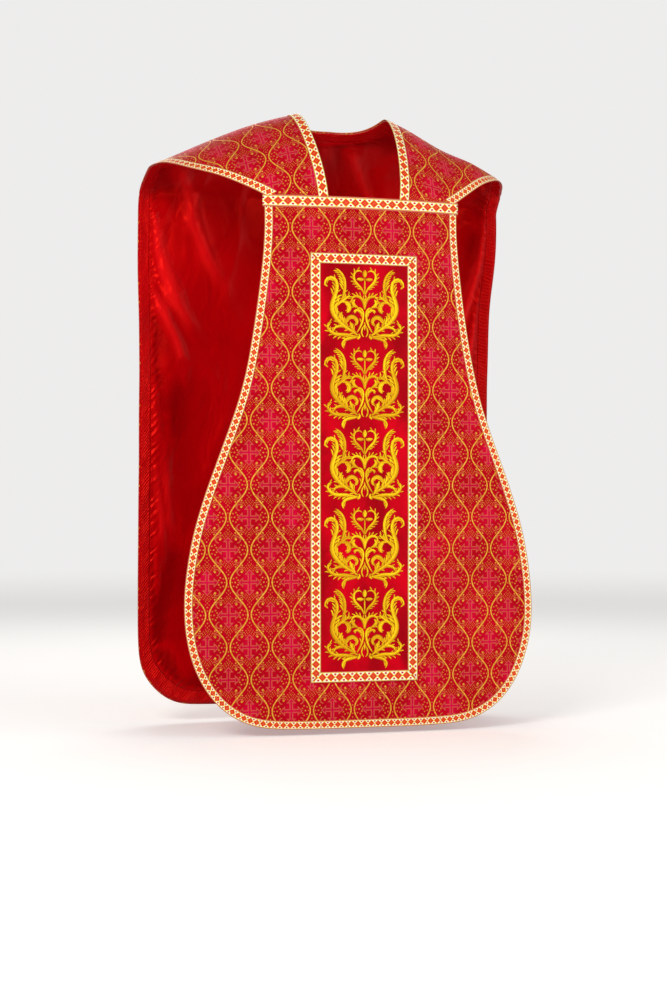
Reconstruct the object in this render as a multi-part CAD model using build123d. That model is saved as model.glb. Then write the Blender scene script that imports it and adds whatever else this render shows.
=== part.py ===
from build123d import *
import math
import os
from dataclasses import dataclass

# Roman (fiddleback) chasuble: stiff front and back panels joined over the shoulders by a yoke.
# Frame: millimetres, +Z up, front faces -Y, wearer's right is -X.
# Origin: centre of the neck opening, level with the shoulder line where it meets the neck.

# ---- driving dimensions ----------------------------------------------------
HALF_BACK = 348.0  # half width of the shoulders and of the back panel
HALF_CHEST = 181.0  # half width at the chest seam
BACK_CORNER_R = 112.0
SWING_GAP = 2.4  # clearance left at each bend line for the swing

NECK_HALF_TOP = 85.0  # half width of the neck opening at the origin's height
NECK_HALF_BAR = 68.0  # and at the chest seam
NECK_BACK_DEPTH = 72.0
NECK_JOIN_Y = 3.0  # where the front and back neck galloons meet
NECK_JOIN_HALF_GAP = 0.1

# layers as (inner, outer) offsets from the lining's inner face
CLOTH_LAYERS = {"lining": (0.0, 0.5), "interlining": (0.7, 1.9), "brocade": (2.1, 2.9)}
GALLOON = (3.1, 4.1)
ORPHREY = (3.1, 3.7)
FRAME_GALLOON = (3.9, 4.9)
EMBROIDERY = (3.9, 5.3)

EDGE_W = 14.0  # narrow galloon round the outline
NECK_W = 17.0
BAR_W = 19.0  # galloon across the chest
BAR_OVERHANG = 3.0
BAR_GAP = 0.4
FRAME_W = 19.0  # galloon framing the orphrey
FRAME_HALF = 101.0  # outer half width of that frame
ORPHREY_TUCK = 6.0  # how far the orphrey runs under its frame
MITRE_HALF_GAP = 0.15
MOTIF_PITCH = 140.0
MOTIF_RISE = 73.0  # top of a motif above the middle of its pitch

REACH = 400.0  # cutting solids extend this far to either side of the origin
MIN_VOLUME = 0.5  # smaller scraps left by the cuts are dropped
SIDES = (("left", 1.0), ("right", -1.0))  # wearer's side and its sign along X


@dataclass
class Panel:
    name: str
    outward: float  # sign along Y
    centre_y: float  # lining plane at the centre line
    seam_z: float  # bend line where the panel hangs from the yoke
    hem_z: float
    seam_radius: float  # radius of the cross-section at the centre line, at the seam
    hem_radius: float  # and at the hem
    frame_top: float
    frame_bottom: float

    @property
    def top_z(self):
        return self.seam_z - SWING_GAP

    def curvature(self, z):
        fall = min(max((self.seam_z - z) / (self.seam_z - self.hem_z), 0.0), 1.0)
        seam_share = (1 - fall) ** 2
        return seam_share / self.seam_radius + (1 - seam_share) / self.hem_radius

    def lining_y(self, x, z):
        return self.centre_y - self.outward * x * x / 2 * self.curvature(z)


FRONT = Panel("front", -1.0, -135.0, -165.0, -1110.0, 1000.0, 6000.0, -266.0, -1029.0)
BACK = Panel("back", 1.0, 165.0, -135.0, -1091.0, 1200.0, 3500.0, -152.0, -1018.0)


# ---- helpers ---------------------------------------------------------------
def spline_xz(points, tangents=None):
    directions = None if tangents is None else [Vector(x, 0, z) for x, z in tangents]
    return Edge.make_spline([Vector(x, 0, z) for x, z in points], tangents=directions)


def polyline(points):
    return [Edge.make_line(start, end) for start, end in zip(points, points[1:])]


def polygon_xz(points):
    corners = [Vector(x, 0, z) for x, z in points]
    return Face(Wire(polyline(corners + corners[:1])))


def prism_y(face, y0=-REACH, y1=REACH):
    return extrude(face.translate(Vector(0, y0, 0)), amount=y1 - y0, dir=(0, 1, 0))


def box(x0, x1, y0, y1, z0, z1):
    return Pos((x0 + x1) / 2, (y0 + y1) / 2, (z0 + z1) / 2) * Box(x1 - x0, y1 - y0, z1 - z0)


def write(name, shape):
    """Export the solids of a shape, or of a list of shapes, as one piece."""
    shapes = shape if isinstance(shape, list) else [shape]
    solids = [solid for part in shapes for solid in part.solids() if solid.volume > MIN_VOLUME]
    if not solids:
        raise ValueError("no solid in " + name)
    piece = solids[0] if len(solids) == 1 else Compound(children=solids)
    export_step(piece, "parts/" + name + ".step")


# ---- panel outlines, drawn in the XZ plane ---------------------------------
# left half of the front outline as (x, z), from the chest seam to the hem's middle
FRONT_OUTLINE = [
    (HALF_CHEST, FRONT.top_z),
    (180.5, -205.0), (184.0, -270.0), (197.5, -380.0), (220.5, -500.0),
    (261.5, -620.0), (303.5, -740.0), (325.5, -855.0), (327.0, -915.0),
    (316.0, -980.0), (289.0, -1038.0), (250.0, -1079.0), (201.0, -1102.0),
    (140.0, -1109.0), (0.0, FRONT.hem_z),
]


def back_outline():
    """Left half of the back outline: straight side, rounded corner, nearly flat hem."""
    radius, half, hem = BACK_CORNER_R, HALF_BACK, BACK.hem_z
    points = [
        (half, BACK.top_z),
        (half, -400.0),
        (half, -700.0),
        (half, hem + radius * 1.5),
        (half - 1.5, hem + radius),
    ]
    for degrees in (22, 45, 68):
        angle = math.radians(degrees)
        x = half - radius + radius * math.cos(angle) - 1.0
        points.append((x, hem + radius - radius * math.sin(angle) + 0.6))
    points += [(half - radius - 12, hem + 1.5), (half - radius - 90, hem), (0.0, hem - 2.0)]
    return points


def outline_edge(points, side):
    """Half outline, straight down at its top and level where it meets the centre line."""
    mirrored = [(side * x, z) for x, z in points]
    return spline_xz(mirrored, tangents=[(0, -1), (-side, 0)])


def outline_prism(points):
    x, z = points[0]
    top = Edge.make_line(Vector(-x, 0, z), Vector(x, 0, z))
    return prism_y(Face(Wire([top, outline_edge(points, 1), outline_edge(points, -1)])))


def inset_outline(points, distance):
    """Half outline moved inward, with its ends kept at the top and on the centre line."""
    steps, min_spacing = 44, 14
    edge = outline_edge(points, 1)
    moved = []
    for i in range(steps + 1):
        point, tangent = edge.position_at(i / steps), edge.tangent_at(i / steps)
        # the tangent turned clockwise in the (x, z) plane points inward
        moved.append((point.X + distance * tangent.Z, point.Z - distance * tangent.X))
    moved[0] = (moved[0][0], points[0][1])
    moved[-1] = (0.0, moved[-1][1])
    kept = [moved[0]]
    for point in moved[1:]:
        if math.dist(point, kept[-1]) > min_spacing:
            kept.append(point)
    if abs(kept[-1][0]) > 1e-6:
        kept[-1] = moved[-1]
    return kept


# ---- embroidery ------------------------------------------------------------
# Each branch of a motif is a leaf-shaped patch: its spine as (x outward from the centre line,
# z from the motif's top), then its greatest width.
STEM = ([(0, -4), (0, -30), (0, -66)], 5.6)
BRANCHES = [
    ([(9, -124), (38, -108), (60, -80), (53, -48), (52, -28), (66, -21), (74, -34)], 12.0),
    ([(18, -130), (44, -123), (66, -117), (69, -103)], 7.0),
    ([(3.4, -96), (8, -78), (18, -70), (28, -82), (22, -96)], 6.0),
    ([(3.4, -50), (15, -34), (20, -17), (12, -8)], 6.5),
]


def leaf_face(spine_points, width, side=1.0):
    spine = spline_xz(spine_points)
    spans = len(spine_points)
    rim_a, rim_b = [], []
    for i in range(spans + 1):
        u = i / spans
        point, tangent = spine.position_at(u), spine.tangent_at(u)
        # the width swells along the leaf and never tapers to nothing
        swell = math.sin(math.pi * min(1.0, 0.10 + 0.85 * u))
        reach = width / 2 * (0.22 + 0.78 * swell)
        dx, dz = -tangent.Z * reach, tangent.X * reach
        rim_a.append((side * (point.X + dx), point.Z + dz))
        rim_b.append((side * (point.X - dx), point.Z - dz))
    a, b = spline_xz(rim_a), spline_xz(rim_b)
    return Face(Wire([a, Edge.make_line(a @ 1, b @ 1), b, Edge.make_line(a @ 0, b @ 0)]))


def motif_faces():
    """One motif's branches as separate patches of satin stitch."""
    faces = [leaf_face(*STEM)]
    for spine_points, width in BRANCHES:
        faces += [leaf_face(spine_points, width, side) for _, side in SIDES]
    return faces


def build_embroidery(panel):
    """A column of motifs centred within the frame, one piece each."""
    slab = panel_slab(panel, *EMBROIDERY)
    top, bottom = panel.frame_top, panel.frame_bottom
    count = int((top - bottom - 2 * FRAME_W) // MOTIF_PITCH)
    first_top = (top + bottom) / 2 + (count - 1) / 2 * MOTIF_PITCH + MOTIF_RISE
    faces = motif_faces()
    for i in range(count):
        shift = Vector(0, 0, first_top - i * MOTIF_PITCH)
        patches = [slab & prism_y(face.translate(shift)) for face in faces]
        write(f"{panel.name}_embroidery_{i + 1}", patches)


# ---- panels ----------------------------------------------------------------
SLAB_HALF = 360.0  # the uncut slab is wider than any outline
SLAB_EXTRA = 8.0  # and runs this far below the hem
SLAB_SPANS = 8


def panel_slab(panel, inner, outer):
    """Uncut layer of a panel: the lining surface moved straight outward along Y."""
    bottom = panel.hem_z - SLAB_EXTRA
    wires = []
    for i in range(SLAB_SPANS + 1):
        z = panel.top_z + (bottom - panel.top_z) * i / SLAB_SPANS
        arcs = []
        for offset in (outer, inner):
            y_side = panel.lining_y(SLAB_HALF, z) + panel.outward * offset
            y_mid = panel.lining_y(0, z) + panel.outward * offset
            controls = [
                Vector(-SLAB_HALF, y_side, z),
                Vector(0, 2 * y_mid - y_side, z),
                Vector(SLAB_HALF, y_side, z),
            ]
            if offset == inner:
                controls.reverse()
            arcs.append(Edge.make_bezier(*controls))
        a, b = arcs
        wires.append(Wire([a, Edge.make_line(a @ 1, b @ 0), b, Edge.make_line(b @ 1, a @ 0)]))
    return Solid.make_loft(wires)


def build_edge_galloon(panel, points, outline):
    trim = panel_slab(panel, *GALLOON) & outline
    edge = trim - outline_prism(inset_outline(points, EDGE_W))
    if panel is FRONT:
        # the chest galloon takes the place of the edge galloon's upper ends
        bar_bottom = panel.top_z - BAR_W
        edge = edge - box(-REACH, REACH, -REACH, REACH, bar_bottom - BAR_GAP, 200)
        half = HALF_CHEST + BAR_OVERHANG
        bar_space = box(-half, half, -REACH, REACH, bar_bottom, panel.top_z)
        write("front_chest_galloon", panel_slab(panel, *GALLOON) & bar_space)
    write(f"{panel.name}_edge_galloon", edge)


def build_orphrey(panel):
    """The central band and the four mitred strips that frame it."""
    top, bottom = panel.frame_top, panel.frame_bottom
    inner_half, gap = FRAME_HALF - FRAME_W, MITRE_HALF_GAP
    half, inset = inner_half + ORPHREY_TUCK, FRAME_W - ORPHREY_TUCK
    band = box(-half, half, -REACH, REACH, bottom + inset, top - inset)
    write(f"{panel.name}_orphrey", panel_slab(panel, *ORPHREY) & band)

    strips = {}
    for label, outer_z, inner_z in (
        ("top", top, top - FRAME_W),
        ("bottom", bottom, bottom + FRAME_W),
    ):
        strips[label] = [
            (-FRAME_HALF + gap, outer_z),
            (FRAME_HALF - gap, outer_z),
            (inner_half - gap, inner_z),
            (-inner_half + gap, inner_z),
        ]
    for label, side in SIDES:
        strips[label] = [
            (side * FRAME_HALF, top - gap),
            (side * FRAME_HALF, bottom + gap),
            (side * inner_half, bottom + FRAME_W + gap),
            (side * inner_half, top - FRAME_W - gap),
        ]
    slab = panel_slab(panel, *FRAME_GALLOON)
    for label, corners in strips.items():
        strip = slab & prism_y(polygon_xz(corners))
        write(f"{panel.name}_orphrey_galloon_{label}", strip)


def build_panel(panel, points):
    outline = outline_prism(points)
    for name, layer in CLOTH_LAYERS.items():
        write(f"{panel.name}_{name}", panel_slab(panel, *layer) & outline)
    build_edge_galloon(panel, points, outline)
    build_orphrey(panel)
    build_embroidery(panel)


# ---- shoulder arch ---------------------------------------------------------
ARCH_FULLNESS = 0.38  # share of the arch's two sides taken by its handles
ARCH_STATIONS = [
    -HALF_BACK, -305, -255, -200, -145, -95, -45, 0,
    45, 95, 145, 200, 255, 305, HALF_BACK,
]


def ridge_z(x):
    return 11.7 - 0.00959 * abs(x) ** 1.6


def ridge_y(x):
    return 50.0 * (x / 350.0) ** 2


def arch_controls(x, offset, panel):
    """Bezier controls of a half arch at constant x, ridge to seam, moved outward by offset."""
    y0, z0 = ridge_y(x), ridge_z(x) + offset
    y3 = panel.lining_y(x, panel.seam_z) + panel.outward * offset
    z3 = panel.seam_z
    return [
        Vector(x, y0, z0),
        Vector(x, y0 + ARCH_FULLNESS * (y3 - y0), z0),
        Vector(x, y3, z3 + ARCH_FULLNESS * (z0 - z3)),
        Vector(x, y3, z3),
    ]


def yoke_slab(inner, outer):
    """Uncut layer of the whole shoulder arch."""
    wires = []
    for x in ARCH_STATIONS:
        front_out, back_out = arch_controls(x, outer, FRONT), arch_controls(x, outer, BACK)
        front_in, back_in = arch_controls(x, inner, FRONT), arch_controls(x, inner, BACK)
        edges = [
            Edge.make_bezier(*reversed(back_out)),
            Edge.make_bezier(*front_out),
            Edge.make_line(front_out[3], front_in[3]),
            Edge.make_bezier(*reversed(front_in)),
            Edge.make_bezier(*back_in),
            Edge.make_line(back_in[3], back_out[3]),
        ]
        wires.append(Wire(edges))
    return Solid.make_loft(wires)


# ---- neck opening ----------------------------------------------------------
NECK_CURVE_Y = 2.0  # where the back curve of the neck starts
NECK_BACK_FLOOR = -110.0
# inner points of that curve, as shares of (half width, depth)
NECK_CURVE = [(0.965, 0.38), (0.80, 0.72), (0.45, 0.945)]


def neck_cutter(grow):
    """Space of the neck opening, widened all round by grow."""
    half, depth = NECK_HALF_TOP + grow, NECK_BACK_DEPTH + grow
    flare = (NECK_HALF_TOP - NECK_HALF_BAR) / -FRONT.seam_z
    low, high = -400.0, 60.0
    low_half, high_half = half + low * flare, half + high * flare
    front = polygon_xz([(-low_half, low), (low_half, low), (high_half, high), (-high_half, high)])
    front = prism_y(front, -230.0, NECK_JOIN_Y)

    edges = [Edge.make_line(Vector(-half, NECK_CURVE_Y, 0), Vector(half, NECK_CURVE_Y, 0))]
    for _, side in SIDES:
        points = [Vector(side * half, NECK_CURVE_Y, 0)]
        points += [Vector(side * half * u, depth * v, 0) for u, v in NECK_CURVE]
        points.append(Vector(0, depth, 0))
        tangents = [Vector(0, 1, 0), Vector(-side, 0, 0)]
        edges.append(Edge.make_spline(points, tangents=tangents))
    back = Face(Wire(edges)).translate(Vector(0, 0, NECK_BACK_FLOOR))
    return front + extrude(back, amount=190.0, dir=(0, 0, 1))


# ---- shoulder wings --------------------------------------------------------
# front edge of the wing as (x, share along the arch from ridge to chest seam)
WING = [
    (HALF_CHEST, 1.0), (204.0, 0.925), (226.0, 0.855), (247.0, 0.78), (268.0, 0.70),
    (288.0, 0.61), (307.0, 0.50), (324.0, 0.355), (337.0, 0.18), (HALF_BACK - 1.0, 0.0),
]
WING_OFFSET = 3.0  # arch surface on which the edge is drawn
# Wing shapes are drawn as (x, q), seen from 45 degrees above the front:
# q runs along (0, 1, 1), and the prisms run along (0, -1, 1) between these two distances.
PRISM_START, PRISM_END = -135.0, 160.0
ROOT2 = math.sqrt(2.0)


def wing_point(x, s):
    """Point on the front of the arch, s being the share from ridge to seam."""
    c0, c1, c2, c3 = arch_controls(x, WING_OFFSET, FRONT)
    r = 1 - s
    return c0 * r**3 + c1 * (3 * s * r**2) + c2 * (3 * s * s * r) + c3 * s**3


def to_view(point):
    return point.X, (point.Y + point.Z) / ROOT2


def from_view(x, q):
    return Vector(x, (q - PRISM_START) / ROOT2, (q + PRISM_START) / ROOT2)


def wing_curves():
    """The wing's edge and the inner side of its galloon, as (x, q) points."""
    edge = [wing_point(x, s) for x, s in WING]
    inner = []
    for i, (x, s) in enumerate(WING):
        along_edge = edge[min(i + 1, len(edge) - 1)] - edge[max(i - 1, 0)]
        along_arch = wing_point(x, min(s + 0.02, 1.0)) - wing_point(x, max(s - 0.02, 0.0))
        along_x = wing_point(x + 2, s) - wing_point(x - 2, s)
        inward = along_arch.cross(along_x).cross(along_edge).normalized()
        if inward.X > 0:
            inward = inward * -1
        inner.append(edge[i] + inward * EDGE_W)
    return [to_view(point) for point in edge], [to_view(point) for point in inner]


def view_prism(edges):
    return extrude(Face(Wire(edges)), amount=PRISM_END - PRISM_START, dir=(0, -1, 1))


def view_points(points, side):
    return [from_view(side * x, q) for x, q in points]


def wing_cutter(side):
    """Everything in front of and outside the wing's edge."""
    edge, _ = wing_curves()
    (x0, q0), (x1, q1) = edge[0], edge[-1]
    far_x, low_q = 430, -330
    border = [(x1, q1), (far_x, q1), (far_x, low_q), (x0, low_q), (x0, q0)]
    curve = Edge.make_spline(view_points(edge, side))
    return view_prism([curve] + polyline(view_points(border, side)))


def wing_ring(side):
    """The band between the wing's edge and the inner side of its galloon."""
    edge, inner = wing_curves()
    (xa, qa), (xb, qb) = edge[0], inner[0]
    flare, drop = 2, 14  # the band runs on past the chest seam
    foot = [(xa, qa), (xa + flare, qa - drop), (xb, qb - drop), (xb, qb)]
    edges = [Edge.make_spline(view_points(edge, side))]
    edges += polyline(view_points(foot, side))
    edges.append(Edge.make_spline(view_points(inner, side)))
    edges += polyline(view_points([edge_end := edge[-1], inner[-1]], side))
    return view_prism(edges)


# ---- yoke ------------------------------------------------------------------
def build_neck_galloon(ring):
    front_end, back_start = NECK_JOIN_Y - NECK_JOIN_HALF_GAP, NECK_JOIN_Y + NECK_JOIN_HALF_GAP
    write("neck_galloon_left", ring & box(0.0, REACH, -300, front_end, -300, 100))
    write("neck_galloon_right", ring & box(-REACH, 0.0, -300, front_end, -300, 100))
    back_space = box(-REACH, REACH, back_start, 300, NECK_BACK_FLOOR, 100)
    write("neck_galloon_back", ring & back_space)


def build_shoulder_galloon(trim, label, side):
    """Galloon along the wing's front edge, carried on down the back's side edge."""
    ring = wing_ring(side)
    x0, x1 = sorted((side * (HALF_BACK - EDGE_W), side * (HALF_BACK + 5)))
    front = trim & ring
    back = (trim & box(x0, x1, -20.0, REACH, -300, 50)) - ring
    write(f"shoulder_galloon_{label}", front + back)


def build_yoke():
    cutters = [neck_cutter(0.0)] + [wing_cutter(side) for _, side in SIDES]

    def cut_layer(layer):
        shape = yoke_slab(*layer)
        for cutter in cutters:
            shape = shape - cutter
        return shape

    for name, layer in CLOTH_LAYERS.items():
        write(f"yoke_{name}", cut_layer(layer))
    trim = cut_layer(GALLOON)
    neck_space = neck_cutter(NECK_W)
    build_neck_galloon(trim & neck_space)
    shoulder_trim = trim - neck_space
    for label, side in SIDES:
        build_shoulder_galloon(shoulder_trim, label, side)


# ---- waist ties ------------------------------------------------------------
TIE_X, TIE_Z = 105.0, -480.0  # centre of the anchor patch
TIE_LENGTH, TIE_WIDTH, TIE_T = 570.0, 15.0, 0.8
TIE_RISE = 8.0  # tie's top end above the anchor's centre
TIE_SLOPE = 0.118  # the tie's plane follows the chord of the curved back
TIE_INSET = 2.3  # from the lining's inner face to the tie's mid-plane
ANCHOR_WIDTH, ANCHOR_T, ANCHOR_HEIGHT = 24, 0.7, 26
ANCHOR_INSET = 0.75  # from the lining's inner face to the anchor's mid-plane


def build_ties():
    """A patch inside the back panel on each side, with a flat tie hanging from it."""
    lining_y = BACK.lining_y(TIE_X, TIE_Z)
    anchor_tilt = math.degrees(math.atan(-TIE_X * BACK.curvature(TIE_Z)))
    tie_tilt = -math.degrees(math.atan(TIE_SLOPE))
    tie_z = TIE_Z - (TIE_LENGTH / 2 - TIE_RISE)
    for label, side in SIDES:
        x = side * TIE_X
        anchor_place = Location((x, lining_y - ANCHOR_INSET, TIE_Z), (0, 0, anchor_tilt * side))
        anchor = anchor_place * Box(ANCHOR_WIDTH, ANCHOR_T, ANCHOR_HEIGHT)
        write(f"tie_anchor_{label}", anchor)
        tie_place = Location((x, lining_y - TIE_INSET, tie_z), (0, 0, tie_tilt * side))
        write(f"waist_tie_{label}", tie_place * Box(TIE_WIDTH, TIE_T, TIE_LENGTH))


os.makedirs("parts", exist_ok=True)
build_panel(FRONT, FRONT_OUTLINE)
build_panel(BACK, back_outline())
build_yoke()
build_ties()
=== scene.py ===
import math

import bpy
import numpy as np
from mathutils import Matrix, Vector
from mathutils.geometry import delaunay_2d_cdt


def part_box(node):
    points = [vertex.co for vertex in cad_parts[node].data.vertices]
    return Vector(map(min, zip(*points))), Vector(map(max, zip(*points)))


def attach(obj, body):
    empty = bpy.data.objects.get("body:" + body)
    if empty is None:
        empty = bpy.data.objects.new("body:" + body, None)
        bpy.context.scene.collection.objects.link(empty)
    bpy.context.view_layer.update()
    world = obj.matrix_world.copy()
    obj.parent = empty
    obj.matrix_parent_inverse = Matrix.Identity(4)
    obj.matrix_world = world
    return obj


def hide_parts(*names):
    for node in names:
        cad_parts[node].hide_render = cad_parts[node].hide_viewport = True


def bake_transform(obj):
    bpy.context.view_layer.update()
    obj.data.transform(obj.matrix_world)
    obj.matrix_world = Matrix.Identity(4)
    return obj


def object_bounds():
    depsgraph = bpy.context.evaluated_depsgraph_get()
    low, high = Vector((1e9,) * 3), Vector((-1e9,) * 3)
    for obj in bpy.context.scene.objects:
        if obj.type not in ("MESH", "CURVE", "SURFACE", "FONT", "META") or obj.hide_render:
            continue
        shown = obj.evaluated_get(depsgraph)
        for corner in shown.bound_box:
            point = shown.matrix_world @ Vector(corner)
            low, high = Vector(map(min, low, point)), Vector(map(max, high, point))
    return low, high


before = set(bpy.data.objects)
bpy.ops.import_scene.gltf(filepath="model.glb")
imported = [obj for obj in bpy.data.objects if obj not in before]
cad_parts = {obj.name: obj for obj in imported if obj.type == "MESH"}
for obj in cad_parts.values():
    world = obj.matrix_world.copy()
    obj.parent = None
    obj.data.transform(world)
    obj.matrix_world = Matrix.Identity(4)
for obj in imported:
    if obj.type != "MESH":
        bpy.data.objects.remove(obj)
BOUNDS_BEFORE = [list(v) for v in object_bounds()]
RNG = np.random.default_rng(11)
MM = 0.001


# ------------------------------------------------------------------ sizes
def box_mm(node):
    """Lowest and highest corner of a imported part."""
    low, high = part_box(node)
    return np.array(low) * 1000, np.array(high) * 1000


def frame_ends(side):
    """Top and bottom of an orphrey's frame."""
    top = box_mm(f"{side}_orphrey_galloon_top")[1][2]
    bottom = box_mm(f"{side}_orphrey_galloon_bottom")[0][2]
    return float(top), float(bottom)


# outer and inner height of each layer above the lining plane
FACE_HEIGHTS = (2.9, 2.1)
CANVAS_HEIGHTS = (1.95, 1.35)
LINING_HEIGHTS = (0.5, 0.0)
GROUND_HEIGHTS = (3.7, 3.1)  # the orphreys' satin
LINING_INSET = 0.8  # how far each layer stops short of the face's edge
CANVAS_INSET = 2.0

_front, _back = box_mm("front_brocade"), box_mm("back_brocade")
HALF = float(_back[1][0])  # half width of the back
CHEST_Z = float(box_mm("yoke_brocade")[0][2])  # chest seam
FRONT_Y = float(_front[0][1]) + FACE_HEIGHTS[0]  # front lining plane
BACK_Y = float(_back[1][1]) - FACE_HEIGHTS[0]  # back lining plane
FRONT_HEM = float(_front[0][2])
BACK_HEM = float(_back[0][2]) + 2.0
SWING_GAP = 2.4
BEND_Z = float(_back[1][2]) + SWING_GAP  # bend line of the back
FRONT_TOP = CHEST_Z - SWING_GAP
ARCH_PULL = 0.38  # how square the shoulder arch is
FRAME_HALF = float(box_mm("front_orphrey_galloon_top")[1][0])
FRAME_W = 19.0
EDGE_W = 14.0
NECK_W = 17.0
OVERHANG = 0.8  # how far a braid stands over the edge it follows
STEP = 5.0  # mesh cell of the cloth


def smooth(start, end, x):
    """0 at start, 1 at end, eased between."""
    t = np.clip((np.asarray(x, float) - start) / (end - start), 0, 1)
    return t * t * (3 - 2 * t)


# ------------------------------------------------------------------ the garment's surfaces
def ridge_y(x):
    return 50.0 * (x / 350.0) ** 2


def bulge(x, z, top, hem, top_radius, hem_radius):
    """Depth of a panel's curve across, its radius growing from top to hem."""
    t = np.clip((top - z) / (top - hem), 0, 1)
    curve = (1 - t) ** 2 / top_radius + (1 - (1 - t) ** 2) / hem_radius
    return x * x / 2 * curve


def front_y(x, z):
    return FRONT_Y + bulge(x, z, CHEST_Z, FRONT_HEM, 1000.0, 6000.0)


def back_y(x, z):
    return BACK_Y - bulge(x, z, BEND_Z, BACK_HEM, 1200.0, 3500.0)


def arch_yz(x, s, side, h):
    """Point of the shoulder arch at height h. side is -1 in front and +1 behind; s runs from
    0 at the ridge to 1 at the seam."""
    seam_y = np.where(side < 0, front_y(x, CHEST_Z) - h, back_y(x, BEND_Z) + h)
    seam_z = np.where(side < 0, CHEST_Z, BEND_Z)
    top_y = ridge_y(x)
    top_z = 11.7 - 0.00959 * np.abs(x) ** 1.6 + h
    y1 = top_y + ARCH_PULL * (seam_y - top_y)
    z2 = seam_z + ARCH_PULL * (top_z - seam_z)
    b0, b1, b2, b3 = (1 - s) ** 3, 3 * s * (1 - s) ** 2, 3 * s * s * (1 - s), s**3
    return (
        b0 * top_y + b1 * y1 + b2 * seam_y + b3 * seam_y,
        b0 * top_z + b1 * top_z + b2 * z2 + b3 * seam_z,
    )


TABLE_X = np.linspace(0, HALF + 12, 91)
TABLE_S = np.linspace(0, 1, 121)
TABLE_PART = np.linspace(0, 1, 101)


def arch_table(side):
    """Cloth length from the ridge at each x and s, the whole length, and s at each part of it."""
    x, s = np.meshgrid(TABLE_X, TABLE_S, indexing="ij")
    y, z = arch_yz(x, s, side, 2.5)
    piece = np.hypot(np.diff(y, axis=1), np.diff(z, axis=1))
    length = np.concatenate([np.zeros((len(x), 1)), np.cumsum(piece, axis=1)], axis=1)
    total = length[:, -1]
    inverse = [np.interp(TABLE_PART * total[i], length[i], TABLE_S) for i in range(len(x))]
    return length, total, np.array(inverse)


FRONT_LENGTH, FRONT_TOTAL, FRONT_S = arch_table(-1)
BACK_LENGTH, BACK_TOTAL, BACK_S = arch_table(1)


def bilinear(table, axis_a, axis_b, a, b):
    at_a = np.clip((a - axis_a[0]) / (axis_a[1] - axis_a[0]), 0, len(axis_a) - 1.001)
    at_b = np.clip((b - axis_b[0]) / (axis_b[1] - axis_b[0]), 0, len(axis_b) - 1.001)
    i, j = at_a.astype(int), at_b.astype(int)
    u, v = at_a - i, at_b - j
    return (
        table[i, j] * (1 - u) * (1 - v)
        + table[i + 1, j] * u * (1 - v)
        + table[i, j + 1] * (1 - u) * v
        + table[i + 1, j + 1] * u * v
    )


def arch_length(table, x, s):
    return float(bilinear(table, TABLE_X, TABLE_S, x, s))


def back_drop(x):
    """Cloth length from the ridge to the back's bend line."""
    return np.interp(np.abs(x), TABLE_X, BACK_TOTAL)


def front_drop(x):
    """Cloth length from the ridge to the chest seam."""
    return np.interp(np.abs(x), TABLE_X, FRONT_TOTAL)


def waves(seed, count, short, long):
    """Gentle unevenness: a sum of waves with lengths from short to long."""
    rng = np.random.default_rng(seed)
    angle = rng.uniform(0, math.pi, count)
    length = np.exp(rng.uniform(math.log(short), math.log(long), count))
    phase = rng.uniform(0, 2 * math.pi, count)
    weight = (length / long) ** 0.6
    weight = weight / np.sqrt((weight**2).sum() / 2)

    def height(x, y):
        out = np.zeros(np.broadcast(x, y).shape)
        for i in range(count):
            along = x * math.cos(angle[i]) + y * math.sin(angle[i])
            out = out + weight[i] * np.cos(2 * math.pi / length[i] * along + phase[i])
        return out * 0.7

    return height


FRONT_WAVES = waves(3, 14, 90, 420)
SHELL_WAVES = waves(5, 16, 90, 420)


def ease_front(x, z):
    """How far the hanging cloth stands outward from the drawn surface."""
    down = smooth(0, 130, CHEST_Z - z)
    hem = smooth(-760, FRONT_HEM, z)
    side = smooth(90, 300, np.abs(x))
    flute = np.cos(x / 47.0 + 0.6) * 1.3 * hem * side
    return down * (FRONT_WAVES(x, z) * (0.55 + 0.9 * side) + flute)


def ease_shell(x, down):
    held = np.where(down < 0, smooth(0, 70, down + front_drop(x)), 1.0)
    side = smooth(150, 330, np.abs(x))
    flute = smooth(250, 1000, down) * side * 1.5 * np.cos(down / 83.0 + x / 61.0)
    return held * SHELL_WAVES(x, down) * (0.6 + 0.8 * side) + flute


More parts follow.
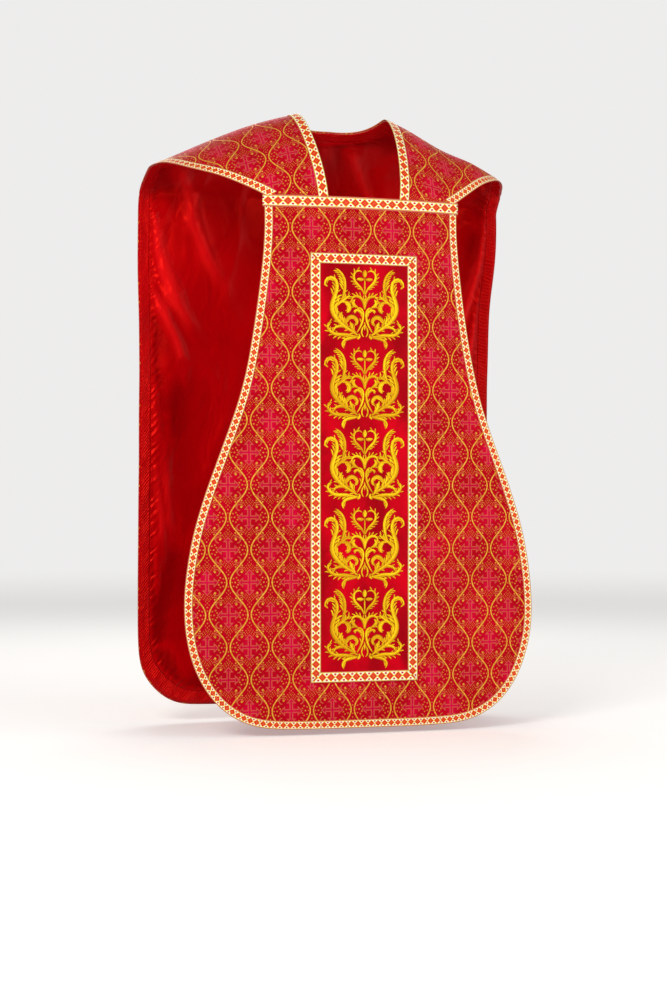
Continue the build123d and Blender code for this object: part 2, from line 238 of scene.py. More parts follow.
def on_shell(x, down, h):
    """Shoulders and back as one cloth. down runs along the cloth from the ridge: negative to
    the front, positive down the back. h is the height off the lining plane."""
    x, down = np.asarray(x, float), np.asarray(down, float)
    h = h + ease_shell(x, down)
    size = np.abs(x)
    to_back, to_front = back_drop(x), front_drop(x)
    back_s = bilinear(BACK_S, TABLE_X, TABLE_PART, size, np.clip(down / to_back, 0, 1))
    front_s = bilinear(FRONT_S, TABLE_X, TABLE_PART, size, np.clip(-down / to_front, 0, 1))
    side = np.where(down < 0, -1.0, 1.0)
    y, z = arch_yz(x, np.where(down < 0, front_s, back_s), side, h)
    past_back, past_front = down > to_back, down < -to_front
    back_z = BEND_Z - (down - to_back)
    y = np.where(past_back, back_y(x, back_z) + h, y)
    z = np.where(past_back, back_z, z)
    front_z = CHEST_Z - (-down - to_front)
    y = np.where(past_front, front_y(x, front_z) - h, y)
    z = np.where(past_front, front_z, z)

    # the garment hangs unevenly: under the shoulder the left edge falls forward
    # and the right edge stands back
    arch_y, _ = arch_yz(x, np.where(down < 0, 0.0, back_s), 1.0, 0.0)
    # run is how far the cloth has gone back from the ridge
    run = np.where(past_back, back_y(x, back_z), arch_y) - ridge_y(x)
    run = np.maximum(run, 0.0) * (down > 0)
    reach = 44.0 + 28.0 * np.exp(-(((z + 180.0) / 80.0) ** 2))
    reach = reach * smooth(185, HALF, x) ** 1.3 * (1 - smooth(215, 455, -z))
    # a soft minimum of the two, so the left corner drops almost straight from the ridge
    left = ((0.8 * run + 1e-3) ** -3.0 + (reach + 1e-3) ** -3.0) ** (-1 / 3)
    right = 27.0 * smooth(170, HALF, -x) * smooth(20, 110, down) * (1 - smooth(210, 480, -z))
    narrow = 8.5 * smooth(150, HALF, x) * (1 - smooth(300, 455, -z))
    corner = smooth(HALF - 115, HALF + 5, x) ** 1.5
    sag = 12.0 * corner * np.exp(-((down / 95.0) ** 2))
    sag = sag + 0.25 * left * (1 - smooth(40, 220, down))
    rise = 10.0 * smooth(165, 255, x) * (1 - smooth(285, HALF + 8, x)) * smooth(25, 90, -down)
    droop = 7.0 * smooth(110, 290, x) * np.exp(-((down / 110.0) ** 2))
    inner = smooth(70, 200, x) * (1 - 0.5 * smooth(250, HALF, x))
    droop = droop + 14.0 * inner * np.exp(-((down / 70.0) ** 2))
    droop = droop * smooth(0, 60, down + to_front)
    return np.stack([x - narrow, y - left + right, z - droop - sag + rise], -1)


def on_front(x, z, h):
    x, z = np.asarray(x, float), np.asarray(z, float)
    return np.stack([x, front_y(x, z) - (h + ease_front(x, z)), z + 0 * x], -1)


def back_down(x, z):
    """Distance down the cloth of a point of the back given by its height."""
    return back_drop(x) + (BEND_Z - z)


def on_back(x, z, h):
    return on_shell(x, back_down(x, z), h)


# ------------------------------------------------------------------ curves in the pattern plane
def distances(path):
    """Length along the path up to each of its points."""
    pieces = np.linalg.norm(np.diff(path, axis=0), axis=1)
    return np.concatenate([[0], np.cumsum(pieces)])


def resample(path, count):
    at = distances(path)
    even = np.linspace(0, at[-1], count)
    return np.stack([np.interp(even, at, path[:, k]) for k in range(path.shape[1])], -1)


def resample_by(path, step):
    return resample(path, int(distances(path)[-1] / step))


def spline(points, count, start=None, end=None):
    """Cubic through points, evenly resampled. start and end are the end directions."""
    knots = np.array(points, float)
    at = distances(knots)
    total = len(knots)
    matrix = np.zeros((total, total))
    right = np.zeros((total, knots.shape[1]))
    gap = np.diff(at)
    for i in range(1, total - 1):
        matrix[i, i - 1] = gap[i]
        matrix[i, i] = 2 * (gap[i - 1] + gap[i])
        matrix[i, i + 1] = gap[i - 1]
        before = gap[i] * (knots[i] - knots[i - 1]) / gap[i - 1]
        right[i] = 3 * (before + gap[i - 1] * (knots[i + 1] - knots[i]) / gap[i])
    if start is None:
        matrix[0, 0], matrix[0, 1] = 2, 1
        right[0] = 3 * (knots[1] - knots[0]) / gap[0]
    else:
        matrix[0, 0] = 1
        right[0] = np.array(start, float) / np.linalg.norm(start)
    if end is None:
        matrix[-1, -1], matrix[-1, -2] = 2, 1
        right[-1] = 3 * (knots[-1] - knots[-2]) / gap[-1]
    else:
        matrix[-1, -1] = 1
        right[-1] = np.array(end, float) / np.linalg.norm(end)
    slope = np.linalg.solve(matrix, right)

    fine = np.linspace(0, at[-1], 40 * total)
    i = np.clip(np.searchsorted(at, fine, side="right") - 1, 0, total - 2)
    u = ((fine - at[i]) / gap[i])[:, None]
    span = gap[i][:, None]
    curve = (
        (2 * u**3 - 3 * u**2 + 1) * knots[i]
        + (u**3 - 2 * u**2 + u) * span * slope[i]
        + (-2 * u**3 + 3 * u**2) * knots[i + 1]
        + (u**3 - u**2) * span * slope[i + 1]
    )
    return resample(curve, count)


def tangents(path):
    along = np.gradient(path, axis=0)
    return along / np.linalg.norm(along, axis=1)[:, None]


def normals(path, sign):
    along = tangents(path)
    return sign * np.stack([along[:, 1], -along[:, 0]], -1)


def mirror(path):
    """The path's other half: turned about x = 0 and run backwards."""
    return path[::-1] * [-1, 1]


def segment(start, end, step):
    count = max(2, int(np.hypot(end[0] - start[0], end[1] - start[1]) / step) + 1)
    return np.linspace(start, end, count)


def closed(*parts):
    """The parts joined into one loop, without doubled points."""
    path = np.concatenate(parts)
    keep = [0]
    for i in range(1, len(path)):
        if np.linalg.norm(path[i] - path[keep[-1]]) > 0.8:
            keep.append(i)
    path = path[keep]
    return path[:-1] if np.linalg.norm(path[0] - path[-1]) < 0.8 else path


# left edge of the front from the chest to the middle of the hem: x, z
FRONT_SIDE = [
    (181.0, FRONT_TOP), (180.5, -205.0), (184.0, -270.0), (197.5, -380.0), (220.5, -500.0),
    (261.5, -620.0), (303.5, -740.0), (325.5, -855.0), (327.0, -915.0), (316.0, -980.0),
    (289.0, -1038.0), (250.0, -1079.0), (201.0, -1102.0), (140.0, -1109.0), (0.0, FRONT_HEM),
]


def back_side():
    """Left edge of the back from the bend to the middle of the hem, as x, z."""
    radius, low = 112.0, BACK_HEM
    points = [(HALF, BEND_Z - SWING_GAP), (HALF, -400.0), (HALF, -700.0)]
    points += [(HALF, low + radius * 1.5), (HALF - 1.5, low + radius)]
    centre = HALF - radius
    for degrees in (22, 45, 68):
        a = math.radians(degrees)
        x = centre + radius * math.cos(a) - 1.0
        points.append((x, low + radius - radius * math.sin(a) + 0.6))
    return points + [(centre - 12, low + 1.5), (centre - 90, low), (0.0, low - 2.0)]


# the two panels' edges run from the left top, round the hem, to the right top
front_half = spline(FRONT_SIDE, 260, (0, -1), (-1, 0))
FRONT_EDGE = np.concatenate([front_half, mirror(front_half)[1:]])
back_half = spline(back_side(), 260, (0, -1), (-1, 0))
back_half = np.stack([back_half[:, 0], back_down(back_half[:, 0], back_half[:, 1])], -1)
BACK_EDGE = np.concatenate([back_half, mirror(back_half)[1:]])

# shoulder edge from the chest seam to the ridge: x, s on the front arch
WING = [
    (181.0, 1.0), (204.0, 0.925), (226.0, 0.855), (247.0, 0.78), (268.0, 0.70),
    (288.0, 0.61), (307.0, 0.50), (324.0, 0.355), (337.0, 0.18), (HALF - 1.0, 0.0),
]
wing = [(x, -arch_length(FRONT_LENGTH, x, s)) for x, s in WING]
wing += [(HALF, 26.0), (HALF, 60.0), (HALF, float(back_drop(HALF)))]
wing = spline(wing, 150, None, (0, 1))


def neck_side():
    """Left side of the neck, from the chest seam up to the ridge: half width 68 to 85."""
    points = []
    for s in np.linspace(1, 0, 30):
        x = 80.0
        for _ in range(8):
            _, z = arch_yz(x, s, -1, 0.0)
            x = 68.0 + 17.0 * (z - CHEST_Z) / (0 - CHEST_Z)
        points.append((x, -arch_length(FRONT_LENGTH, x, s)))
    return np.array(points)


def neck_back():
    """Left half of the neck behind, from the ridge round to the centre line."""
    plan = [(85.0, 2.0), (82.0, 27.4), (68.0, 51.8), (38.25, 68.0), (0.0, 72.0)]  # x, y
    points = []
    for x, y in spline(plan, 40, (0, 1), (-1, 0)):
        arch_y, _ = arch_yz(x, TABLE_S, 1, 0.0)
        s = float(np.interp(y, arch_y, TABLE_S))
        points.append((x, arch_length(BACK_LENGTH, x, s)))
    return np.array(points)


wedge, nape = neck_side(), neck_back()
neck = resample(np.concatenate([wedge, nape[1:]]), 110)

seam_x = np.linspace(68.0, 181.0, 24)
seam = np.stack([seam_x, -(front_drop(seam_x) + 1.5)], -1)
left_half = np.concatenate([seam, resample_by(wing, 5), resample_by(back_half, 5)])
right_neck = resample_by(neck, 5) * [-1, 1]
SHELL_LOOP = closed(left_half, mirror(left_half), right_neck, mirror(right_neck))
front_left = resample_by(front_half, 5)
front_head = segment((-181.0, FRONT_TOP + 1.6), (181.0, FRONT_TOP + 1.6), 6)
FRONT_LOOP = closed(front_left, mirror(front_left), front_head)


# ------------------------------------------------------------------ mesh building
def inside(loop, points):
    out = np.zeros(len(points), bool)
    x, y = points[:, 0], points[:, 1]
    for (x0, y0), (x1, y1) in zip(loop, np.roll(loop, -1, axis=0)):
        if y0 != y1:
            out ^= ((y0 > y) != (y1 > y)) & (x < (x1 - x0) * (y - y0) / (y1 - y0) + x0)
    return out


def near(loop, points, radius):
    """True where a point lies within radius of one of the loop's vertices."""
    out = np.zeros(len(points), bool)
    for k in range(0, len(points), 20000):
        apart = points[k : k + 20000, None, :] - loop[None, :, :]
        out[k : k + 20000] = ((apart**2).sum(-1).min(1)) < radius * radius
    return out


def segment_distances(points, starts, spans):
    """Square distance from each point to each segment, and how far along it is nearest."""
    apart = points[:, None, :] - starts[None]
    t = np.clip((apart * spans[None]).sum(-1) / ((spans**2).sum(1) + 1e-12)[None], 0, 1)
    return ((apart - t[..., None] * spans[None]) ** 2).sum(-1), t


def edge_distance(loop, x, y):
    """Distance from each point to the outline."""
    spans = np.roll(loop, -1, axis=0) - loop
    points = np.stack([x, y], -1)
    out = np.zeros(len(points))
    for k in range(0, len(points), 8000):
        square, _ = segment_distances(points[k : k + 8000], loop, spans)
        out[k : k + 8000] = np.sqrt(square.min(1))
    return out


def inset(loop, distance):
    """The outline moved inward, for layers that stop short of the edge."""
    outward = normals(np.concatenate([loop[-1:], loop, loop[:1]]), 1)[1:-1]
    moved = loop + outward * distance
    third = len(moved) // 3
    if inside(loop, moved[third : third + 1])[0]:
        return moved
    return loop - outward * distance


def open_edges(faces):
    """Directed edges that belong to one face only."""
    edges = {}
    for face in faces:
        for a, b in zip(face, [*face[1:], face[0]]):
            if (b, a) in edges:
                del edges[(b, a)]
            else:
                edges[(a, b)] = True
    return list(edges)


def fill(loop, step):
    """Points and faces of square cells inside the outline, with triangles out to it."""
    low, high = loop.min(0), loop.max(0)
    grid_x, grid_y = (
        low[k]
        + (np.arange(int((high[k] - low[k]) / step) + 2) - 0.5) * step
        + ((high[k] - low[k]) % step) / 2
        for k in (0, 1)
    )
    x, y = np.meshgrid(grid_x, grid_y, indexing="ij")
    points = np.stack([x.ravel(), y.ravel()], -1)
    free = inside(loop, points)
    index = np.where(free)[0]
    free[index[near(loop, points[index], 0.8 * step)]] = False
    free = free.reshape(x.shape)
    cell = free[:-1, :-1] & free[1:, :-1] & free[:-1, 1:] & free[1:, 1:]
    i, j = np.where(cell)
    corner = np.zeros(x.shape, bool)
    for di, dj in ((0, 0), (1, 0), (0, 1), (1, 1)):
        corner[i + di, j + dj] = True
    number = -np.ones(x.shape, int)
    number[corner] = np.arange(corner.sum())
    grid = np.stack([x[corner], y[corner]], -1)
    quads = [number[i, j], number[i + 1, j], number[i + 1, j + 1], number[i, j + 1]]
    faces = [tuple(quad) for quad in np.stack(quads, -1).tolist()]

    # triangulate between the cells' rim and the outline
    edges = open_edges(faces)
    rim = sorted({k for edge in edges for k in edge})
    where = {k: place for place, k in enumerate(rim)}
    size = len(loop)
    corners = [Vector(p) for p in loop] + [Vector(grid[k]) for k in rim]
    fixed = [(k, (k + 1) % size) for k in range(size)]
    fixed += [(size + where[a], size + where[b]) for a, b in edges]
    spots, _, found, sources, _, _ = delaunay_2d_cdt(corners, fixed, [], 0, 1e-4)
    spots = np.array([tuple(p) for p in spots])
    triangles = np.array([face for face in found if len(face) == 3])
    middle = spots[triangles].mean(1)
    i = np.clip(((middle[:, 0] - grid_x[0]) / step).astype(int), 0, len(grid_x) - 2)
    j = np.clip(((middle[:, 1] - grid_y[0]) / step).astype(int), 0, len(grid_y) - 2)
    keep = inside(loop, middle) & ~cell[i, j]

    source_of = {k: source for k, group in enumerate(sources) for source in group}
    total = [tuple(p) for p in grid] + [tuple(p) for p in loop]
    final = {}
    for k, spot in enumerate(spots):
        source = source_of.get(k)
        if source is None:
            final[k] = len(total)
            total.append(tuple(spot))
        elif source < size:
            final[k] = len(grid) + source
        else:
            final[k] = rim[source - size]
    total = np.array(total)
    for triangle in triangles[keep]:
        a, b, c = (final[int(k)] for k in triangle)
        if len({a, b, c}) < 3:
            continue
        ab, ac = total[b] - total[a], total[c] - total[a]
        area = ab[0] * ac[1] - ac[0] * ab[1]
        if abs(area) >= 1e-7:
            faces.append((a, b, c) if area > 0 else (a, c, b))
    return total, faces


def make(name, points, faces, uv, material, **attributes):
    """One smooth object. points and uv are per vertex, in mm; attributes are named floats."""
    mesh = bpy.data.meshes.new(name)
    mesh.from_pydata((np.asarray(points) * MM).tolist(), [], faces)
    mesh.update()
    vertex = np.zeros(len(mesh.loops), np.int32)
    mesh.loops.foreach_get("vertex_index", vertex)
    layer = mesh.uv_layers.new(name="mm")
    layer.data.foreach_set("uv", np.asarray(uv, np.float32)[vertex].ravel())
    for key, values in attributes.items():
        attribute = mesh.attributes.new(key, "FLOAT", "POINT")
        attribute.data.foreach_set("value", np.asarray(values, np.float32))
    mesh.polygons.foreach_set("use_smooth", [True] * len(mesh.polygons))
    piece = bpy.data.objects.new(name, mesh)
    bpy.context.scene.collection.objects.link(piece)
    mesh.materials.append(material)
    mesh.validate()
    mesh.update()
    return piece


def cloth(name, loop, mapper, heights, step, material, flip, stand=None, shift=(0.0, 0.0)):
    """A cloth layer with real thickness, cut to the outline. stand adds to its height, and
    shift moves its pattern."""
    points, faces = fill(loop, step)
    count = len(points)
    x, y = points[:, 0], points[:, 1]
    added = np.zeros(count) if stand is None else stand(x, y)
    outer, inner = (height + added for height in heights)
    if flip:
        faces = [face[::-1] for face in faces]
    under = [tuple(k + count for k in face[::-1]) for face in faces]
    rim = [(b, a, a + count, b + count) for a, b in open_edges(faces)]
    return make(
        name,
        np.concatenate([mapper(x, y, outer), mapper(x, y, inner)]),
        faces + under + rim,
        np.concatenate([points, points]) + np.array(shift),
        material,
        tone=np.tile(edge_distance(loop, x, y), 2),
        lift=np.tile(heights[0] - outer, 2),
    )


def slab_faces(rows, columns, turned=False):
    """Faces of a sheet of rows by columns points over a second one like it, closed all round."""
    total = rows * columns
    faces = []
    for i in range(rows - 1):
        for j in range(columns - 1):
            a = i * columns + j
            b = a + columns
            face = (a, a + 1, b + 1, b) if turned else (a, b, b + 1, a + 1)
            faces += [face, tuple(k + total for k in face[::-1])]
        for j in (0, columns - 1):
            a = i * columns + j
            b = a + columns
            face = (a, a + total, b + total, b)
            faces.append(face[::-1] if (j > 0) != turned else face)
    for i in (0, rows - 1):
        for j in range(columns - 1):
            a = i * columns + j
            face = (a, a + total, a + 1 + total, a + 1)
            faces.append(face[::-1] if (i == 0) != turned else face)
    return faces


# ------------------------------------------------------------------ braid shapes
BRAID_COLUMNS = 13


def sweep(name, grid, uv, mapper, height, thick, material, flip=False):
    """A flat braid laid on a surface, its two edges thicker cords. grid is (along, across, 2)
    in the pattern plane."""
    across = np.abs(np.linspace(-1, 1, BRAID_COLUMNS))
    body = (1 - across**9 * 0.55) * 0.8 * thick
    body = body + np.exp(-(((across - 0.9) / 0.07) ** 2)) * 0.35 * thick
    x, y = grid[..., 0], grid[..., 1]
    top = mapper(x, y, height + body[None, :])
    bottom = mapper(x, y, np.full(x.shape, height))
    faces = slab_faces(*x.shape)
    if flip:
        faces = [face[::-1] for face in faces]
    points = np.concatenate([top.reshape(-1, 3), bottom.reshape(-1, 3)])
    return make(name, points, faces, np.tile(uv.reshape(-1, 2), (2, 1)), material)


def braid(
    name, path, side, width, mapper, height, thick, material,
    over=OVERHANG, step=4.0, centre=0.0, to_seam=False,
):
    """A braid along path, lying to one side of it and standing over it by `over`. centre is
    the part of its length where the pattern starts."""
    if to_seam:  # run on past the chest seam, to be cut off level with it below
        first = path[0] - path[1]
        path = np.concatenate([[path[0] + first / np.linalg.norm(first) * 16.0], path])
    count = max(3, int(distances(path)[-1] / step))
    path = resample(path, count)
    off = np.linspace(-over, width - over, BRAID_COLUMNS)
    grid = path[:, None, :] + normals(path, side)[:, None, :] * off[None, :, None]
    along = distances(path)
    along = along - centre * along[-1]
    uv = np.zeros((count, BRAID_COLUMNS, 2))
    uv[..., 0] = along[:, None]
    uv[..., 1] = (off - (width / 2 - over))[None, :]
    if to_seam:
        for j in range(BRAID_COLUMNS):
            line = grid[:, j]
            room = line[:, 1] + front_drop(line[:, 0]) + 1.2
            k = int(np.argmax(room > 0))
            if k == 0:
                continue
            part = room[k - 1] / (room[k - 1] - room[k])
            line = np.concatenate([[line[k - 1] * (1 - part) + line[k] * part], line[k:]])
            start = along[k - 1] * (1 - part) + along[k] * part
            known = np.concatenate([[start], along[k:]])
            at = np.linspace(start, known[-1], count)
            x, y = np.interp(at, known, line[:, 0]), np.interp(at, known, line[:, 1])
            grid[:, j, 0], grid[:, j, 1] = x, y
            uv[:, j, 0] = at
    return sweep(name, grid, uv, mapper, height, thick, material)


def strip(name, outer, inner, mapper, flip):
    """One side of an orphrey's frame, mitred at both ends, between its two long edges."""
    (a, b), (d, c) = np.array(outer, float), np.array(inner, float)
    length = np.linalg.norm(b - a)
    count = int(length / 5.0) + 2
    along = np.linspace(0, 1, count)[:, None, None]
    across = np.linspace(0, 1, BRAID_COLUMNS)[None, :, None]
    grid = (a + (b - a) * along) * (1 - across) + (d + (c - d) * along) * across
    stretch = 1.105  # of the pattern, along the braid
    uv = np.zeros((count, BRAID_COLUMNS, 2))
    uv[..., 0] = ((grid - (a + b) / 2) * ((b - a) / length)).sum(-1) * stretch
    uv[..., 1] = (across[..., 0] - 0.5) * FRAME_W
    return sweep(name, grid, uv, mapper, 3.8, 1.25, WIDE, flip)


# ------------------------------------------------------------------ shader arithmetic
class Value:
    """An output socket that can be used in plain arithmetic."""

    def __init__(self, tree, socket):
        self.tree, self.socket = tree, socket

    def __add__(self, other):
        return calc("ADD", self, other)

    def __sub__(self, other):
        return calc("SUBTRACT", self, other)

    def __rsub__(self, other):
        return calc("SUBTRACT", other, self)

    def __mul__(self, other):
        return calc("MULTIPLY", self, other)

    def __truediv__(self, other):
        return calc("DIVIDE", self, other)

    def __lt__(self, other):
        return calc("LESS_THAN", self, other)

    def __abs__(self):
        return calc("ABSOLUTE", self)


def srgb(code):
    """Linear colour of a #RRGGBB code."""
    parts = [int(code[i : i + 2], 16) / 255 for i in (1, 3, 5)]
    return tuple(p / 12.92 if p <= 0.04045 else ((p + 0.055) / 1.055) ** 2.4 for p in parts) + (1.0,)


def put(tree, socket, value):
    if isinstance(value, Value):
        tree.links.new(value.socket, socket)
    else:
        socket.default_value = srgb(value) if isinstance(value, str) else value


def new_node(tree, kind, inputs, **settings):
    node = tree.nodes.new(kind)
    for key, setting in settings.items():
        setattr(node, key, setting)
    for key, value in inputs.items():
        put(tree, node.inputs[key], value)
    return node


def value_of(tree, kind, inputs, output=0, **settings):
    return Value(tree, new_node(tree, kind, inputs, **settings).outputs[output])


def calc(operation, *values):
    tree = next(value.tree for value in values if isinstance(value, Value))
    return value_of(tree, "ShaderNodeMath", dict(enumerate(values)), operation=operation)


def wrap(value, half):
    return calc("WRAP", value, half, -half)


def wave(value, period):
    return calc("SINE", value * (2 * math.pi / period))


def hypot(a, b):
    return calc("SQRT", a * a + b * b)


def least(value, *others):
    for other in others:
        value = calc("MINIMUM", value, other)
    return value


def most(value, *others):
    for other in others:
        value = calc("MAXIMUM", value, other)
    return value


def ramp(start, end, value):
    """0 at start, 1 at end, eased between."""
    inputs = {"Value": value, "From Min": start, "From Max": end}
    return value_of(value.tree, "ShaderNodeMapRange", inputs, interpolation_type="SMOOTHSTEP")


def mix(factor, a, b):
    """Numbers: a where factor is 0, b where it is 1."""
    return value_of(factor.tree, "ShaderNodeMix", {0: factor, 2: a, 3: b}, data_type="FLOAT")


def tint(factor, a, b):
    """Colours: a where factor is 0, b where it is 1."""
    return value_of(factor.tree, "ShaderNodeMix", {0: factor, 6: a, 7: b}, 2, data_type="RGBA")


def noise(x, y, detail=2.0, roughness=0.5, distortion=0.0):
    place = value_of(x.tree, "ShaderNodeCombineXYZ", {0: x, 1: y, 2: 0.0})
    inputs = {
        "Vector": place, "Scale": 1.0, "Detail": detail,
        "Roughness": roughness, "Distortion": distortion,
    }
    return value_of(x.tree, "ShaderNodeTexNoise", inputs)


def attribute(tree, name):
    return value_of(tree, "ShaderNodeAttribute", {}, "Fac", attribute_name=name)


def empty_material(name):
    material = bpy.data.materials.new(name)
    material.use_nodes = True
    material.node_tree.nodes.clear()
    return material


def finish(
    tree, color, roughness, height, bump, specular,
    metallic=0.0, sheen=0.0, sheen_tint="#FFFFFF", anisotropy=0.0, specular_tint="#FFFFFF",
):
    """The cloth shader. height is in mm, bump the strength of its relief."""
    relief = {"Strength": bump, "Distance": 0.001, "Height": height}
    shader = value_of(tree, "ShaderNodeBsdfPrincipled", {
        "Specular Tint": specular_tint,
        "Base Color": color,
        "Roughness": roughness,
        "Metallic": metallic,
        "Specular IOR Level": specular,
        "Sheen Weight": sheen,
        "Sheen Roughness": 0.35,
        "Sheen Tint": sheen_tint,
        "Anisotropic": anisotropy,
        "Normal": value_of(tree, "ShaderNodeBump", relief),
    })
    new_node(tree, "ShaderNodeOutputMaterial", {0: shader})


def textile(name, paint, *sizes):
    """A material from paint, which takes the mm coordinates and returns finish's arguments."""
    material = empty_material(name)
    tree = material.node_tree
    uv = value_of(tree, "ShaderNodeUVMap", {}, uv_map="mm")
    split = new_node(tree, "ShaderNodeSeparateXYZ", {0: uv})
    x, y = (Value(tree, split.outputs[k]) for k in (0, 1))
    finish(tree, **paint(x, y, *sizes))
    return material


# ------------------------------------------------------------------ materials
def brocade(cloth_x, cloth_y):
    """Cells between waving gold lines, each with a barbed cross, volutes and dots."""
    swing, cell_w, cell_h = 15.9, 75.7, 114.0
    turn = 2 * math.pi / cell_h
    folded = abs(wrap(cloth_x, cell_w / 2))
    cosine = calc("COSINE", cloth_y * turn)
    sine = calc("SINE", cloth_y * turn)
    line = cosine * swing + cell_w / 4
    slope = calc("SQRT", sine * sine * (swing * turn) ** 2 + 1.0)
    gold_line = ramp(1.40, 0.72, abs(folded - line) / slope)
    # x, y from the middle of the cell, folded into one quarter
    first = folded < line
    x = mix(first, cell_w / 2 - folded, folded)
    shifted = abs(wrap(cloth_y + cell_h / 2, cell_h / 2))
    y = mix(first, shifted, abs(wrap(cloth_y, cell_h / 2)))

    def dots_at(*spots):
        return most(*(ramp(r + 0.35, r - 0.35, hypot(x - i, y - j)) for i, j, r in spots))

    def stroke(distance, wide=1.05, core=0.5):
        """A thread line where distance is 0."""
        return ramp(wide, core, abs(distance))

    # the cross: four arms with barbed ends, drawn as an outline
    arm_h = most(x - 14.0, y - 2.5)
    arm_v = most(x - 2.5, y - 16.0)
    barb_h = most(12.4 - x, (y - (19.6 - x) * 0.95) * 0.72)
    barb_v = most(14.4 - y, (x - (22.2 - y) * 0.90) * 0.74)
    cross = least(arm_h, arm_v, barb_h, barb_v)
    outline = stroke(cross, 1.15, 0.55)
    core = ramp(-0.3, -0.9, cross)
    # volutes: a hook curling round a bead, one in each quarter of the cell
    ring = stroke(hypot(x - 16.6, y - 17.6) - 5.4, 1.15, 0.6)
    ring = ring * ramp(-1.6, 0.2, (x - 16.6) * 1.0 + (y - 17.6) * 0.45 + 1.6)
    tail = stroke(x - 21.6 + (y - 24.0) * 0.42)
    tail = tail * ramp(16.6, 18.0, y) * ramp(30.5, 29.0, y)
    hook = stroke(hypot(x - 12.6, y - 31.0) - 5.6)
    hook = hook * ramp(33.0, 31.0, y) * ramp(9.5, 11.0, x)
    beads = dots_at((14.0, 18.6, 1.9), (13.2, 29.6, 1.3))
    # dots, each x, y, radius: a spray at the widest part of the cell
    spray = dots_at(
        (20.6, 4.0, 1.25), (25.8, 0.0, 1.35), (23.4, 8.4, 1.25), (28.8, 6.6, 1.2), (31.4, 0.0, 1.0)
    )
    # nested chevrons of dots above and below the cross: apex, reach across
    column = wrap(x, 1.6)
    chevrons = []
    for k, (apex, reach) in enumerate(((27.2, 8.4), (31.4, 11.6), (35.6, 14.8))):
        place = wrap(x + 1.6, 1.6) if k == 1 else column
        beaded = ramp(0.95, 0.5, hypot(place, (x + y - apex) * 0.9))
        chevrons.append(beaded * ramp(reach + 0.8, reach, x))
    lower = ramp(0.95, 0.5, hypot(column, (y - x - 35.6) * 0.9)) * ramp(4.0, 3.6, x)
    necks = [dots_at((0.0, 43.0, 1.2)), dots_at((0.0, 49.5, 1.0))]
    dots = most(spray, lower, *necks, *chevrons)
    gold = most(gold_line * 0.95, beads * 0.85, dots * 0.60)
    thread = most(ring, tail, hook)

    # ground: satin with the figure's own colours, slightly uneven, and a painted pink sheen about
    # each cross
    patches = noise(cloth_x * 0.012, cloth_y * 0.012, detail=3.0)
    streaks = noise(cloth_x * 1.6, cloth_y * 0.16)
    # painted sheen: a pink glow about the cross, cut into streaky glints below
    glow = ramp(15.0, 3.0, x) * ramp(26.0, 10.0, y)
    color = tint(streaks, "#8C000E", "#C0001E")
    color = tint(ramp(0.35, 0.7, patches) * 0.45, color, "#CE0026")
    glint = noise(cloth_x * 0.9, cloth_y * 0.06, detail=1.0)
    glow = glow * ramp(0.38, 0.62, glint) * ramp(0.30, 0.65, patches) * 0.85
    color = tint(glow, color, "#E0084C")
    color = tint(core * 0.45, color, tint(ramp(0.45, 0.65, streaks), "#B80030", "#E82468"))
    color = tint(outline * 0.75, color, "#C85C44")
    color = tint(thread * 0.62, color, "#CA7444")
    mottle = noise(cloth_x * 0.25, cloth_y * 0.25)
    color = tint(gold * 0.95, color, tint(ramp(0.3, 0.75, mottle), "#D09420", "#F0C850"))
    twill = wave(cloth_x + cloth_y * 0.5, 1.3)
    weft = wave(cloth_y, 0.9)
    mask = most(gold, outline * 0.6, thread * 0.8)
    slub = noise(cloth_x * 0.05, cloth_y * 1.2)
    return dict(
        color=color,
        roughness=mix(mask, 0.55, 0.40) + patches * 0.10,
        height=mask * 0.22 + twill * 0.025 + weft * 0.03 * mask + slub * 0.10,
        metallic=mask * 0.20,
        sheen=0.03,
        sheen_tint="#FF2020",
        bump=0.7,
        specular=0.22,
        specular_tint="#FF6048",
    )


